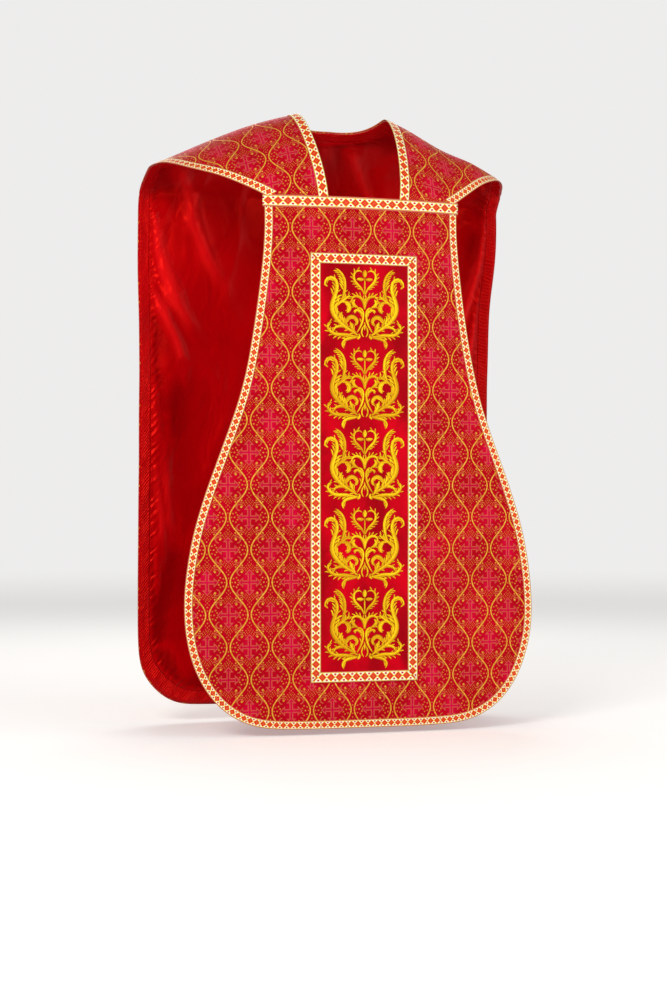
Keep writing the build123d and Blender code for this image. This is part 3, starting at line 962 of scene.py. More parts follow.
def galloon(along, across, width, pitch, half_long, half_wide):
    """Woven braid of red lozenges at each pitch. half_long and half_wide are their half axes."""
    off = abs(across)
    scale = width / 19.0
    field = width / 2 - width * 0.110  # half width inside the borders
    place = abs(wrap(along, pitch / 2))
    lattice = ramp(0.15, 0.09, abs(place / (pitch / 2) + off / field - 1.0))
    red = ramp(1.05, 0.96, place / half_long + off / half_wide)
    pips = least(hypot(place - 1.75 * scale, off), hypot(place, off - 1.75 * scale))
    gold = ramp(0.95 * scale + 0.1, 0.5 * scale, pips)
    oval = hypot((pitch / 2 - place) / (2.6 * scale), (off - 5.0 * scale) / (1.85 * scale))
    dot = ramp(1.10, 0.82, oval)
    mottle = noise(along * 0.35, across * 0.35)
    color = tint(mottle, "#F6F0D4", "#FFFFF4")
    color = tint(lattice, color, "#ECDC28")
    color = tint(dot, color, "#C80A18")
    color = tint(red, color, tint(mottle, "#C60A00", "#E81C00"))
    color = tint(gold * 0.6, color, "#E0A428")
    # border: a gold cord, then a tan selvedge with its red thread
    cord = ramp(field - 0.15, field + 0.10, off)
    selvedge = ramp(field + 0.040 * width, field + 0.040 * width + 0.3, off)
    edge = ramp(width / 2 - 0.85, width / 2 - 0.5, off)
    color = tint(cord, color, "#EEDC58")
    rope = ramp(-0.2, 0.5, wave(along + across * 0.8, 1.9))
    color = tint(selvedge, color, tint(rope, "#CC8248", "#F0C498"))
    color = tint(edge, color, "#D86C54")
    rib = wave(along, 0.95)
    groove = ramp(0.45, 0.1, abs(off - (field + 0.1)))
    height = most(lattice * 0.8, red, dot) * 0.20 + gold * 0.12 + rib * 0.035
    height = height + rope * selvedge * 0.22 - groove * 0.22
    stitch = ramp(0.35, 0.15, abs(off - (field + 0.75))) * ramp(0.1, 0.5, wave(along, 3.2))
    return dict(
        color=tint(stitch * 0.4, color, "#C08838"),
        roughness=mottle * 0.1 + 0.48,
        height=height - stitch * 0.18,
        metallic=most(lattice, cord * (1.0 - selvedge), gold) * 0.15,
        sheen=0.10,
        bump=0.9,
        specular=0.35,
    )


def orphrey_satin(x, y):
    patches = noise(x * 0.012, y * 0.007, detail=3.0, roughness=0.55, distortion=0.6)
    streaks = noise(x * 1.1, y * 0.11)
    # painted shade: the colour is dark where the soft folds that patches raises in the height are
    # low, and light where they are high
    color = tint(ramp(0.33, 0.72, patches), "#8E000C", "#D2001A")
    twill = wave(x * 0.8 + y, 1.1)
    return dict(
        color=tint(streaks * 0.2, color, "#D00A22"),
        roughness=0.46,
        height=patches * 1.2 + twill * 0.02 + streaks * 0.05,
        sheen=0.03,
        sheen_tint="#FF2030",
        bump=0.6,
        specular=0.22,
        specular_tint="#FF5048",
    )


def lining_satin(x, y):
    edge = attribute(x.tree, "tone")  # distance from the cut edge
    patches = noise(x * 0.010, y * 0.006, detail=3.0, distortion=0.8)
    streaks = noise(x * 2.0, y * 0.2)
    color = tint(patches, "#A20004", "#CE000A")
    warp = wave(x, 0.8)
    crease = noise(x * 0.016, y * 0.009, distortion=0.7)
    # the facing turned in along the edge: small slanting puckers held by a row of stitches
    band = ramp(20.5, 18.5, edge) * ramp(0.5, 2.0, edge)
    wobble = noise(x * 0.04, y * 0.04, detail=1.0)
    pucker = wave(x * 0.55 + y + wobble * 9.0, 6.4)
    seam_line = ramp(1.5, 0.4, abs(edge - 20.5))
    hole = seam_line * ramp(0.1, 0.6, wave(x + y, 4.6))
    gather = ramp(46.0, 21.0, edge) * ramp(20.0, 22.0, edge)
    gather = gather * wave(x * 0.2 + y + wobble * 22.0, 17.0)
    # painted light: the satin's colour is made bright along the crest of a fold (painted highlight)
    # and deep in the hollow beside it (painted shade)
    lift = attribute(x.tree, "lift")
    away = ramp(60.0, 120.0, edge) * 0.5
    painted_fold_shade = ramp(3.2, 0.4, lift) * (0.55 - away) * ramp(20.0, 30.0, edge)
    color = tint(painted_fold_shade, color, "#5E0002")
    color = tint(ramp(4.0, 9.0, lift) * 0.55, color, "#F21418")
    color = tint(hole * 0.7, color, "#4A0000")
    # painted highlight on the crests of the puckers along the turned-in facing
    color = tint(band * ramp(0.2, 0.9, pucker) * 0.18, color, "#F02828")
    height = crease * 9.0 + warp * 0.012 + streaks * 0.05 + band * (pucker * 0.42 + 0.5)
    return dict(
        color=color,
        roughness=mix(patches, 0.22, 0.30),
        height=height - seam_line * 0.7 + gather * 0.8,
        sheen=0.02,
        sheen_tint="#FF3030",
        bump=0.85,
        specular=1.0,
        anisotropy=0.3,
        specular_tint="#FF2A18",
    )


def linen_canvas(x, y):
    check = wave(x, 1.4) * wave(y, 1.4)
    slub = noise(x * 0.08, y * 0.9, detail=3.0)
    color = tint(slub, "#BFAE8C", "#E4D8BC")
    return dict(
        color=tint(ramp(0.1, 0.7, check) * 0.3, color, "#A08C68"),
        roughness=0.86,
        height=check * 0.12 + slub * 0.1,
        sheen=0.1,
        bump=0.8,
        specular=0.2,
    )


def tie_tape(x, y):
    herringbone = wave(abs(x) * 1.4 + y, 2.2)
    edge = ramp(6.2, 6.8, abs(x))
    color = tint(noise(x * 0.3, y * 0.1), "#8C0810", "#B41420")
    color = tint(edge * 0.5, color, "#7A0008")
    color = tint(ramp(0.2, 0.8, herringbone) * 0.3, color, "#CC3038")
    # stitched along both sides of the top end
    stitch = ramp(0.5, 0.25, abs(abs(x) - 5.6)) * ramp(0.0, 0.4, wave(y, 3.0))
    stitch = stitch * ramp(-26.0, -25.0, y)
    return dict(
        color=tint(stitch, color, "#E08080"),
        roughness=0.6,
        height=herringbone * 0.10 - stitch * 0.1,
        sheen=0.2,
        bump=0.8,
        specular=0.35,
    )


def gold_embroidery(along, across):
    """Satin stitch; the coordinates run along and across each leaf."""
    # tone carries each leaf's painted light: dark gold at its edges, on one side and in the vein,
    # bright gold along the crest
    tone = attribute(along.tree, "tone")
    stitch = wave(along + abs(across) * 0.7, 0.85)
    mottle = noise(along * 0.5, across * 2.2)
    color = tint(tone, "#A85A00", "#FFCA00")
    color = tint(ramp(0.55, 0.95, tone), color, "#FFE418")
    color = tint(ramp(0.5, 0.8, mottle) * 0.35, color, "#FCE028")
    shade = noise(along * 0.16, across * 1.1)
    color = tint(ramp(0.52, 0.38, shade) * 0.50, color, "#D28400")
    return dict(
        color=tint(ramp(0.2, 0.9, stitch) * 0.10, color, "#B06C00"),
        roughness=mottle * 0.16 + 0.34,
        height=stitch * 0.06 + mottle * 0.10,
        metallic=0.12,
        bump=0.7,
        specular=0.45,
        anisotropy=0.4,
        specular_tint="#FFE080",
    )


BROCADE = textile("brocade", brocade)
# braid width, pitch, and the lozenge's half axes along and across
WIDE = textile("wide_galloon", galloon, 19.0, 17.5, 7.8, 6.9)
NARROW = textile("narrow_galloon", galloon, 14.0, 12.6, 5.7, 5.2)
ORPHREY = textile("orphrey_satin", orphrey_satin)
LINING = textile("lining_satin", lining_satin)
CANVAS = textile("linen_canvas", linen_canvas)
TAPE = textile("tie_tape", tie_tape)
GOLD = textile("gold_embroidery", gold_embroidery)


# ------------------------------------------------------------------ how pieces are placed: baked where they stand, or hung on a joint
def bend_back(piece):
    """Bake the piece's placement into its mesh. The cloth's smooth turn from the yoke into the back
    panel is in its drawn shape; nothing here bends it.
    """
    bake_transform(piece)


def bend_front(piece):
    """Bake the piece's placement into its mesh. The front's turn just under the chest seam is not
    made here.
    """
    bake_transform(piece)


def ride(joint):
    return lambda piece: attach(piece, joint)


def dress(piece, mover, slot, *nodes):
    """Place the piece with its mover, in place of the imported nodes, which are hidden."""
    mover(piece)
    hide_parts(*nodes)


# ------------------------------------------------------------------ face cloth, canvas and lining
# long soft folds of the lining, each a line down the cloth: (x, down) points, width, height
FOLDS = [
    ([(-345, 60), (-322, 150), (-300, 250), (-262, 360), (-214, 470)], 17, 9.0),
    ([(-350, 175), (-330, 262), (-300, 340), (-268, 430), (-250, 540)], 13, 8.0),
    ([(-349, 300), (-334, 400), (-318, 520), (-296, 660), (-284, 800)], 14, 7.0),
    ([(-342, 470), (-322, 590), (-306, 720), (-300, 860)], 12, 6.0),
    ([(-338, 620), (-316, 740), (-312, 900)], 11, 5.0),
    ([(-300, 30), (-262, 110), (-236, 220), (-196, 330), (-160, 400)], 20, 8.0),
    ([(345, 60), (326, 140), (312, 240), (286, 350), (240, 450)], 15, 9.0),
    ([(350, 150), (333, 240), (318, 330), (300, 450), (292, 560)], 12, 8.0),
    ([(348, 310), (330, 420), (316, 540), (306, 680)], 13, 7.0),
    ([(344, 500), (322, 640), (314, 800)], 12, 5.5),
    ([(300, 40), (262, 130), (228, 240), (190, 350)], 20, 8.0),
    ([(-60, 120), (-20, 230), (40, 330), (64, 420)], 24, 6.0),
    ([(40, 90), (90, 180), (150, 270)], 22, 6.0),
]


def long_folds(x, down):
    """Height of the long folds: rounded ridges that fade at both ends."""
    out = np.zeros(len(x))
    points = np.stack([x, down], -1)
    for line, width, high in FOLDS:
        curve = spline(line, 60)
        low, top = curve.min(0) - 3.2 * width, curve.max(0) + 3.2 * width
        index = np.nonzero(((points > low) & (points < top)).all(1))[0]
        if not len(index):
            continue
        spans = curve[1:] - curve[:-1]
        square, t = segment_distances(points[index], curve[:-1], spans)
        nearest = square.argmin(1)
        every = np.arange(len(index))
        away = np.sqrt(square[every, nearest])
        where = (nearest + t[every, nearest]) / len(spans)
        fade = smooth(0, 0.22, where) * (1 - smooth(0.65, 1.0, where))
        ridge = high * fade * np.exp(-((away / (width * 0.62)) ** 2))
        out[index] = np.maximum(out[index], ridge)
    return out


def wrinkle(seed, high):
    """Creases of a loosely laid satin lining. They only stand inward, into the garment."""
    broad, fine = waves(seed, 12, 90, 330), waves(seed + 1, 10, 50, 140)

    def height(x, y):
        ridge = 1 - np.abs(np.tanh(broad(x, y * 0.55) * 0.9))
        return -(high * (ridge**1.5) + high * 0.30 * (1 + fine(x, y * 0.4)) * 0.5)

    return height


BACK_WRINKLES, FRONT_WRINKLES = wrinkle(21, 5.0), wrinkle(31, 4.0)


def tie_room(x, down):
    """How far the lining may stand inward before it touches a waist tie along its swing."""
    place = on_shell(x, down, 0.0)
    beyond = np.abs(x) - 105.0  # 105 is where the ties hang
    tie_y = 159.9 - 0.1178 * beyond
    gap = place[..., 1] - tie_y - 0.4 - 1.0
    top = -480.0 + 20.0 + 0.0875 * beyond.clip(0)
    swept = (1 - smooth(0, 45, place[..., 2] - top)) * smooth(86, 95, np.abs(x))
    return 30.0 * (1 - swept) + gap.clip(0) * swept


def lining_back(x, down):
    edge = edge_distance(SHELL_LOOP, x, down)
    drift = waves(77, 6, 140, 420)(x, down)
    slant = np.sin(2 * math.pi * (down / 92.0 + np.abs(x) / 120.0 + drift * 0.45))
    pleats = np.clip(slant, -0.2, 1) ** 2 * np.exp(-(((edge - 24).clip(0) / 34.0) ** 2))
    pleats = pleats * smooth(20, 28, edge) * (0.6 + 0.4 * np.tanh(drift))
    stand = -BACK_WRINKLES(x, down) * smooth(20, 60, edge) * 0.85 + 3.0 * pleats
    stand = stand + long_folds(x, down) * smooth(19, 34, edge)
    return -np.minimum(stand, tie_room(x, down))


def lining_front(x, z):
    return FRONT_WRINKLES(x, z) * smooth(3, 45, edge_distance(FRONT_LOOP, x, z))


def layers(place, parts, loop, mapper, mover, flip, stand, canvas_step, shift):
    """Face, lining and canvas of one outline, in place of the same layers of the parts."""
    lining_loop, canvas_loop = inset(loop, LINING_INSET), inset(loop, CANVAS_INSET)
    face = cloth(f"face_{place}", loop, mapper, FACE_HEIGHTS, STEP, BROCADE, flip, shift=shift)
    lining = cloth(
        f"lining_{place}", lining_loop, mapper, LINING_HEIGHTS, STEP, LINING, flip, stand=stand
    )
    canvas = cloth(
        f"canvas_{place}", canvas_loop, mapper, CANVAS_HEIGHTS, canvas_step, CANVAS, flip
    )
    for piece, slot, kind in (
        (face, "brocade", "brocade"),
        (lining, "lining_satin", "lining"),
        (canvas, "linen_canvas", "interlining"),
    ):
        dress(piece, mover, slot, *(f"{part}_{kind}" for part in parts))


layers(
    "back_and_shoulders", ("yoke", "back"), SHELL_LOOP, on_shell, bend_back,
    flip=False, stand=lining_back, canvas_step=STEP, shift=(-21.0, 20.0),
)
layers(
    "front", ("front",), FRONT_LOOP, on_front, bend_front,
    flip=True, stand=lining_front, canvas_step=STEP * 1.4, shift=(-15.4, 51.3),
)


# ------------------------------------------------------------------ edge, chest and neck braids
def edge_braid(name, path, side, mapper, mover, node, **options):
    piece = braid(name, path, side, EDGE_W + OVERHANG, mapper, 2.95, 1.15, NARROW, **options)
    dress(piece, mover, "narrow_galloon", node)


def neck_braid(name, path, side, height, node, **options):
    piece = braid(name, path, side, NECK_W + OVERHANG, on_shell, height, 1.2, WIDE, **options)
    dress(piece, ride("yoke"), "wide_galloon", node)


below_bar = FRONT_EDGE[FRONT_EDGE[:, 1] < FRONT_TOP - 17.5]
edge_braid(
    "front_edge_braid", below_bar, 1, on_front, bend_front, "front_edge_galloon", centre=0.5
)
bar = segment((-184.5, FRONT_TOP + 2.6), (184.5, FRONT_TOP + 2.6), 4)
dress(
    braid("chest_braid", bar, 1, 21.5, on_front, 3.0, 1.35, WIDE, over=0.0, centre=0.5),
    bend_front, "wide_galloon", "front_chest_galloon",
)
edge_braid("back_edge_braid", BACK_EDGE, -1, on_shell, bend_back, "back_edge_galloon", centre=0.5)
for label, sign in (("left", 1.0), ("right", -1.0)):
    edge_braid(
        f"shoulder_braid_{label}", wing * [sign, 1], -sign, on_shell, bend_back,
        f"shoulder_galloon_{label}", to_seam=True,
    )
    neck_braid(
        f"neck_braid_{label}", wedge * [sign, 1], sign, 3.0, f"neck_galloon_{label}", to_seam=True
    )
whole_nape = np.concatenate([nape, mirror(nape)[1:]])
neck_braid("neck_braid_back", whole_nape, 1, 3.02, "neck_galloon_back", centre=0.5, step=3.0)


# ------------------------------------------------------------------ orphreys
def orphrey(side, mapper, mover, flip):
    """A satin ground tucked under a frame of four mitred braids."""
    top, bottom = frame_ends(side)
    tuck = 6.0
    x = FRAME_HALF - FRAME_W + tuck
    high, low = top - FRAME_W + tuck, bottom + FRAME_W - tuck
    corners = [(x, high), (x, low), (-x, low), (-x, high), (x, high)]
    loop = closed(*(segment(a, b, 6) for a, b in zip(corners, corners[1:])))
    ground = cloth(f"{side}_orphrey_ground", loop, mapper, GROUND_HEIGHTS, 5.0, ORPHREY, flip)
    dress(ground, mover, "orphrey_satin", f"{side}_orphrey")

    # each braid's outer and inner edge, with a small gap at the mitres
    gap = 0.1
    out, into = FRAME_HALF, FRAME_HALF - FRAME_W
    high, low = top - FRAME_W, bottom + FRAME_W
    sides = {
        "top": (
            ((gap - out, top), (out - gap, top)),
            ((gap - into, high), (into - gap, high)),
        ),
        "bottom": (
            ((out - gap, bottom), (gap - out, bottom)),
            ((into - gap, low), (gap - into, low)),
        ),
        "left": (
            ((out, top - gap), (out, bottom + gap)),
            ((into, high - gap), (into, low + gap)),
        ),
        "right": (
            ((-out, bottom + gap), (-out, top - gap)),
            ((-into, low + gap), (-into, high - gap)),
        ),
    }
    for label, (outer, inner) in sides.items():
        piece = strip(f"{side}_orphrey_braid_{label}", outer, inner, mapper, not flip)
        dress(piece, mover, "wide_galloon", f"{side}_orphrey_galloon_{label}")


orphrey("front", on_front, bend_front, flip=True)
orphrey("back", on_back, bend_back, flip=False)


# ------------------------------------------------------------------ embroidery
# A leaflet is (place along the line, side, length). Side +1 is to the left of the direction
# of travel.
def row(first, last, count, side, first_length, last_length):
    """Evenly spaced leaflets whose length changes steadily."""
    steps = max(1, count - 1)
    return [
        (
            first + (last - first) * i / steps,
            side,
            first_length + (last_length - first_length) * i / steps,
        )
        for i in range(count)
    ]


# One half of a scroll motif: centre line as x, z from the top of the motif; widest width;
# leaflets.
HALF_MOTIF = [
    (
        [(13, -122), (27, -113), (39, -106), (50, -96), (58, -85), (61, -74), (59.5, -63),
         (55, -50), (52, -38), (53.5, -27), (60, -20.5), (68, -21), (73, -27), (74, -34),
         (70, -37)],
        9.4,
        row(0.10, 0.58, 9, 1, 19, 15) + row(0.60, 0.95, 7, -1, 13, 8)
        + row(0.06, 0.30, 4, -1, 8, 7) + row(0.66, 0.80, 2, 1, 8, 7),
    ),
    (
        [(44, -64), (40, -52), (37.8, -41), (37.6, -29), (40.5, -18), (47, -9), (55, -3)],
        6.8,
        row(0.34, 0.92, 7, -1, 14, 9) + row(0.15, 0.30, 2, 1, 8, 6),
    ),
    (
        [(57, -76), (52.5, -70), (46.5, -64), (39, -59), (32, -54), (27, -50)],
        5.8,
        row(0.35, 0.9, 4, -1, 11, 8) + row(0.5, 0.8, 2, 1, 8, 7),
    ),
    (
        [(40, -62), (33, -64), (28.5, -70), (28.5, -77), (34, -82)],
        8.4,
        row(0.15, 0.75, 4, 1, 9, 7),
    ),
    ([(50, -93), (46, -86), (42, -81)], 5.4, [(0.4, 1, 7), (0.5, -1, 7)]),
    (
        [(35.5, -106), (35.5, -98), (31, -91), (24.5, -88), (17.5, -90.5), (13.5, -96),
         (15, -102), (20, -104.5)],
        6.0,
        row(0.15, 0.8, 7, 1, 8, 6),
    ),
    (
        [(17.5, -117), (22.5, -111), (25, -106), (23.5, -100)],
        6.2,
        [(0.3, 1, 8), (0.3, -1, 8), (0.6, 1, 6), (0.6, -1, 6)],
    ),
    (
        [(14.8, -117), (8.5, -107), (4.6, -97), (2.8, -87), (3.6, -79), (8, -73.5), (13, -72.5)],
        5.0,
        row(0.4, 0.9, 4, -1, 8, 6),
    ),
    (
        [(2.0, -88), (8.5, -80), (15.5, -77), (21.0, -80.5)],
        5.6,
        [(0.4, 1, 7), (0.6, 1, 7), (0.75, -1, 6)],
    ),
    ([(13, -72), (19.5, -69), (22, -63.5), (18, -58)], 7.6, [(0.3, -1, 7), (0.6, -1, 6)]),
    (
        [(0.9, -74), (2.2, -64), (6.5, -56), (13, -52.5), (20.5, -53.5), (24.2, -59), (23, -64.5)],
        6.0,
        row(0.25, 0.9, 7, 1, 9, 7),
    ),
    (
        [(1.0, -49), (5.8, -39.5), (13.8, -31.5), (20, -22.5), (20.4, -14), (16, -8.0),
         (9.5, -6.8), (5.2, -9.8)],
        5.6,
        row(0.2, 0.85, 8, -1, 8, 7),
    ),
    ([(1.0, -104), (5.2, -113), (5.0, -120), (1.6, -125)], 3.6, []),
    ([(11, -119), (9.5, -124.5), (13.5, -129)], 4.6, [(0.4, 1, 6)]),
    (
        [(13, -124.5), (22, -123.5), (35, -121.5), (48, -121.5), (58.5, -119.5), (66, -113.5),
         (69, -106.5), (66.5, -101), (61, -99.5)],
        7.4,
        row(0.2, 0.95, 8, -1, 10, 7) + row(0.5, 0.85, 4, 1, 7, 6),
    ),
    (
        [(34, -110), (42, -106.5), (50, -107), (56, -110.5), (58, -116)],
        6.0,
        row(0.2, 0.8, 4, 1, 8, 6),
    ),
    (
        [(14, -125.5), (24, -127), (33, -129), (39, -133), (41.5, -139), (38.5, -146)],
        6.4,
        [(0.4, 1, 8), (0.55, 1, 7), (0.6, -1, 8), (0.75, -1, 6)],
    ),
    ([(2.0, -22.3), (8, -22.3), (15.0, -21.8)], 7.4, []),
]
# leaves on the centre line: centre line, widest width
CENTRE = [
    ([(0, -5.5), (0, -13), (0, -19)], 9.4),
    ([(0, -19), (0, -34), (0, -49)], 3.0),
    ([(0, -57), (0, -66), (0, -76)], 4.6),
    ([(0, -98), (0, -106), (0, -113)], 3.6),
]
MOTIF_PITCH = 142.6
MOTIF_RISE = 73.0  # from a motif's place up to its top
LEAF_COLUMNS = 7
LEAF_BASE = GROUND_HEIGHTS[0] + 0.02


def leaf_line(points, width, count, start):
    """Centre line, its left-hand normals, and the half width at each point. start is the part
    of the full width at the first point; the widest place is 0.35 along."""
    line = spline(points, count)
    u = np.linspace(0, 1, count)
    taper = np.sqrt(np.clip(1 - ((u - 0.35).clip(0) / 0.65) ** 1.7, 0, 1))
    half = width / 2 * (np.minimum(1, start + (1 - start) * u / 0.35) * taper)
    return line, normals(line, -1), np.maximum(half, 0.12)


def add_leaf(leaves, faces, top, mirrored, points, width, lift, start, count):
    """Append a padded leaf: rows of x, z, height, tone (painted light with a random part) and two
    coordinates, and its faces.
    """
    line, normal, half = leaf_line(points, width, count, start)
    across = np.linspace(-1, 1, LEAF_COLUMNS)[None, :]
    wide = half[:, None] * across
    place = line[:, None, :] + normal[:, None, :] * wide[..., None]
    rise = np.sqrt(np.clip(1 - across**2, 0, 1)) ** 0.9
    vein = 0.30 * np.exp(-((across / 0.16) ** 2)) * (width > 5)  # down the wide leaves only
    crown = min(1.3, 0.38 + 0.11 * width)
    height = LEAF_BASE + lift * (rise > 0)
    height = height + crown * (rise - vein) * (half / (width / 2))[:, None] ** 0.6
    height[:, 0] = height[:, -1] = LEAF_BASE
    u = np.linspace(0, 1, count)[:, None]
    # tone is painted light on the padding: bright along the crest, darker on one side (across <
    # -0.3) and down the vein, lighter toward the tip; the random part is each leaf's own tone
    tone = 0.10 + 0.75 * rise**1.3 - 0.26 * (across < -0.3) + 0.22 * (u - 0.3) - 0.8 * vein
    tone = np.clip(tone + RNG.uniform(-0.16, 0.12), 0, 1)
    along = np.repeat(distances(line)[:, None], LEAF_COLUMNS, 1)
    x = place[..., 0] * (-1 if mirrored else 1)
    z = place[..., 1] + top

    base = sum(len(leaf) for leaf in leaves)
    leaves.append(np.stack([x, z, height, tone, along, wide], -1).reshape(-1, 6))
    last = LEAF_COLUMNS - 1
    made = []
    for i in range(count - 1):
        a = base + i * LEAF_COLUMNS
        b = a + LEAF_COLUMNS
        made += [(a + j, b + j, b + j + 1, a + j + 1) for j in range(last)]
        made.append((a + last, b + last, b, a))
    end = base + (count - 1) * LEAF_COLUMNS
    made.append(tuple(range(base, base + LEAF_COLUMNS)))
    made.append(tuple(range(end + last, end - 1, -1)))
    faces += [face[::-1] for face in made] if mirrored else made


def motif(name, mapper, top, flip):
    leaves, faces = [], []
    for mirrored in (False, True):
        for points, width, leaflets in HALF_MOTIF:
            line, normal, half = leaf_line(points, width, 40, 0.35)
            direction = tangents(line)
            for place, side, length in leaflets:
                i = int(place * 39)
                length = length * (1 + RNG.uniform(-0.08, 0.08))
                out = normal[i] * side
                root = line[i] + out * half[i] * 0.55
                middle = root + (direction[i] * 0.78 + out * 0.62) * length * 0.5
                tip = middle + (direction[i] * 0.66 + out * 0.75) * length * 0.5
                bend = (root + middle) / 2 + out * length * 0.04
                add_leaf(
                    leaves, faces, top, mirrored, [root, bend, middle, tip],
                    width=max(2.5, length * 0.29), lift=0.0, start=0.5, count=9,
                )
            count = 26 if len(points) > 7 else 14
            add_leaf(
                leaves, faces, top, mirrored, points, width, lift=0.12, start=0.4, count=count
            )
    for points, width in CENTRE:
        add_leaf(leaves, faces, top, False, points, width, lift=0.1, start=0.3, count=10)
    x, z, height, tone, along, wide = np.concatenate(leaves).T
    if flip:
        faces = [face[::-1] for face in faces]
    uv = np.stack([along, wide], -1)
    return make(name, mapper(x, z, height), faces, uv, GOLD, tone=tone)


for side, mapper, mover, flip in (
    ("front", on_front, bend_front, False),
    ("back", on_back, bend_back, True),
):
    count = sum(node.startswith(side + "_embroidery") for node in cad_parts)
    first_top = sum(frame_ends(side)) / 2 + (count - 1) / 2 * MOTIF_PITCH + MOTIF_RISE
    for i in range(count):
        piece = motif(f"{side}_scroll_{i + 1}", mapper, first_top - i * MOTIF_PITCH, flip)
        dress(piece, mover, "gold_embroidery", f"{side}_embroidery_{i + 1}")


# ------------------------------------------------------------------ waist ties
TAPE_SIZE = (14.6, 0.75)  # width, thickness
PATCH_SIZE = (24.0, 0.7)


def ribbon(name, centre, across, size, material):
    """A flat tape, thinner at its edges, down a centre line. across is its direction there."""
    width, thick = size
    columns = np.linspace(-1, 1, 7)
    off = columns * width / 2
    normal = np.cross(across, np.array([0, 0, 1.0]))
    middle = centre[:, None, :] + across[:, None, :] * off[None, :, None]
    swell = thick / 2 * (1 - 0.5 * np.abs(columns) ** 4)
    swell = normal[:, None, :] * swell[None, :, None]
    points = np.concatenate([middle + swell, middle - swell]).reshape(-1, 3)
    uv = np.stack(np.broadcast_arrays(off[None, :], -distances(centre)[:, None]), -1)
    faces = slab_faces(len(centre), len(columns), turned=True)
    return make(name, points, faces, np.tile(uv.reshape(-1, 2), (2, 1)), material)


def level(slope):
    """Unit direction across a tape that turns forward by slope toward the left."""
    return np.array([1.0, -slope, 0.0]) / math.hypot(1, slope)


def waist_tape(label, sign):
    low, high = box_mm(f"waist_tie_{label}")
    centre = (low + high) / 2
    z = np.linspace(high[2] - 1.0, low[2] + 1.0, 60)
    drop = high[2] - z
    sway = np.sin(drop / 96.0) * 0.7 * smooth(20, 200, drop)
    line = np.stack([centre[0] + sway * 1.2, centre[1] + sway * 0.45, z], -1)
    flat = level(0.118 * sign)
    turn = np.sin(drop / 130.0) * 0.05 * smooth(30, 250, drop)
    across_y = flat[1] * np.cos(turn) - np.sin(turn)
    across = np.stack([flat[0] * np.cos(turn), across_y, 0 * turn], -1)
    piece = ribbon(f"waist_tape_{label}", line, across, TAPE_SIZE, TAPE)
    dress(piece, ride(f"tie_{label}"), "tie_tape", f"waist_tie_{label}")


def tie_patch(label, sign):
    """The lining patch that holds a tie's top end."""
    low, high = box_mm(f"tie_anchor_{label}")
    centre = (low + high) / 2
    count = 14
    line = np.repeat(centre[None], count, 0)
    line[:, 2] = np.linspace(high[2], low[2], count)
    width, thick = PATCH_SIZE
    flat = level((high[1] - low[1] - thick) / width * sign)
    across = np.repeat(flat[None], count, 0)
    piece = ribbon(f"tie_patch_{label}", line, across, PATCH_SIZE, LINING)
    dress(piece, ride("back_panel"), "lining_satin", f"tie_anchor_{label}")


for label, sign in (("left", 1.0), ("right", -1.0)):
    waist_tape(label, sign)
    tie_patch(label, sign)


# ------------------------------------------------------------------ stage, in metres
ROOM_TONE = (0.85, 0.845, 0.84, 1)
WARM_WHITE = (1.0, 0.985, 0.97, 1)


def stage(name, data):
    thing = bpy.data.objects.new(name, data)
    bpy.context.scene.collection.objects.link(thing)
    return thing


def floor_paint():
    """Matt paint. Seen directly it carries a little extra light, so the far floor stays pale,
    and with distance it fades into the room's tone, so there is no horizon."""
    material = empty_material("studio_floor")
    tree = material.node_tree
    matt = value_of(tree, "ShaderNodeBsdfDiffuse", {0: "#F2F1EF"})
    seen = value_of(tree, "ShaderNodeLightPath", {}, "Is Camera Ray")
    glow = calc("MULTIPLY", seen, 0.26)
    light = value_of(tree, "ShaderNodeEmission", {0: WARM_WHITE, 1: glow})
    lit = value_of(tree, "ShaderNodeAddShader", {0: matt, 1: light})
    room = value_of(tree, "ShaderNodeEmission", {0: ROOM_TONE})
    place = value_of(tree, "ShaderNodeNewGeometry", {}, "Position")
    far = value_of(tree, "ShaderNodeVectorMath", {0: place}, "Value", operation="LENGTH")
    fade = calc("MULTIPLY", ramp(1.6, 9.0, far), seen)
    blend = value_of(tree, "ShaderNodeMixShader", {0: fade, 1: lit, 2: room})
    new_node(tree, "ShaderNodeOutputMaterial", {0: blend})
    return material


def round_floor():
    z = BOUNDS_BEFORE[0][2] - 0.012
    radii = [0.5, 1.5, 4.0, 12.0, 60.0]
    count = 48
    angles = np.linspace(0, 2 * math.pi, count, endpoint=False)
    points = [(0.0, 0.0, z)]
    points += [(r * math.cos(a), r * math.sin(a), z) for r in radii for a in angles]
    faces = [(0, 1 + i, 1 + (i + 1) % count) for i in range(count)]
    for k in range(len(radii) - 1):
        a = 1 + count * k
        b = a + count
        for i in range(count):
            j = (i + 1) % count
            faces.append((a + i, b + i, b + j, a + j))
    mesh = bpy.data.meshes.new("floor")
    mesh.from_pydata(points, [], faces)
    mesh.materials.append(floor_paint())
    stage("floor", mesh)


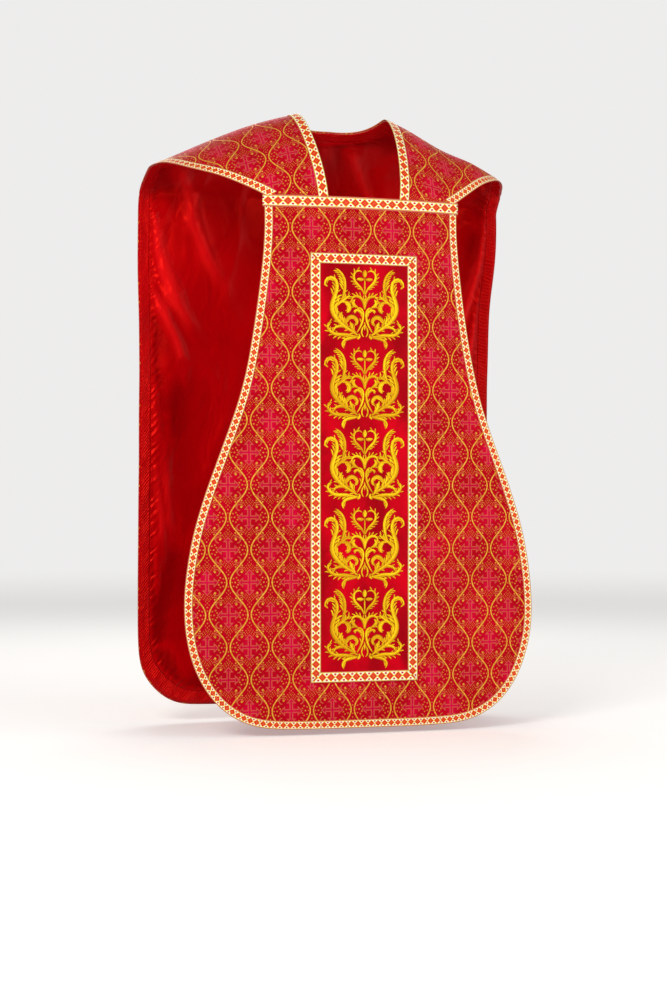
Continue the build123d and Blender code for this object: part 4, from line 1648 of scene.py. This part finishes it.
def studio_world():
    """Soft light all round. Seen directly, the room has the same pale tone as the floor."""
    world = bpy.data.worlds.new("studio")
    bpy.context.scene.world = world
    world.use_nodes = True
    tree = world.node_tree
    light = tree.nodes["Background"]
    light.inputs["Color"].default_value = WARM_WHITE
    light.inputs["Strength"].default_value = 0.40
    room = value_of(tree, "ShaderNodeBackground", {0: ROOM_TONE})
    seen = value_of(tree, "ShaderNodeLightPath", {}, "Is Camera Ray")
    inputs = {0: seen, 1: Value(tree, light.outputs[0]), 2: room}
    both = value_of(tree, "ShaderNodeMixShader", inputs)
    put(tree, tree.nodes["World Output"].inputs[0], both)


def aim(thing, direction):
    thing.rotation_euler = direction.to_track_quat("-Z", "Y").to_euler()


def area(name, place, target, size, power, color):
    light = bpy.data.lights.new(name, "AREA")
    light.shape = "RECTANGLE"
    light.size, light.size_y = size
    light.energy = power
    light.color = color
    lamp = stage(name, light)
    lamp.location = place
    aim(lamp, Vector(target) - Vector(place))


def camera():
    data = bpy.data.cameras.new("camera")
    data.sensor_fit = "AUTO"
    data.sensor_width = 36.0
    data.lens = 74.36
    data.clip_end = 60
    thing = stage("camera", data)
    thing.location = (-1.1907, -3.6274, -0.7048)
    heading = math.radians(17.98)  # from straight toward the back, turned to the left
    aim(thing, Vector((math.sin(heading), math.cos(heading), 0.0)))
    bpy.context.scene.camera = thing


round_floor()
studio_world()
# name, place, target, (width, height), power in watts, colour
for light in (
    ("key", (-2.3, -2.9, 1.2), (0, 0, -0.5), (1.4, 1.6), 88, (1.0, 0.97, 0.94)),
    ("fill", (2.6, -2.4, 0.2), (0, 0, -0.55), (2.0, 2.2), 30, (0.96, 0.98, 1.0)),
    ("strip", (0.9, -3.4, -0.3), (-0.1, 0.1, -0.6), (0.25, 1.9), 16, (1.0, 0.98, 0.96)),
    ("rim", (0.6, 2.6, 1.6), (0, 0, -0.4), (2.2, 1.0), 36, (1.0, 1.0, 1.0)),
):
    area(*light)
camera()
view = bpy.context.scene.view_settings
view.view_transform = "Standard"
view.look = "None"
view.exposure = 0.0
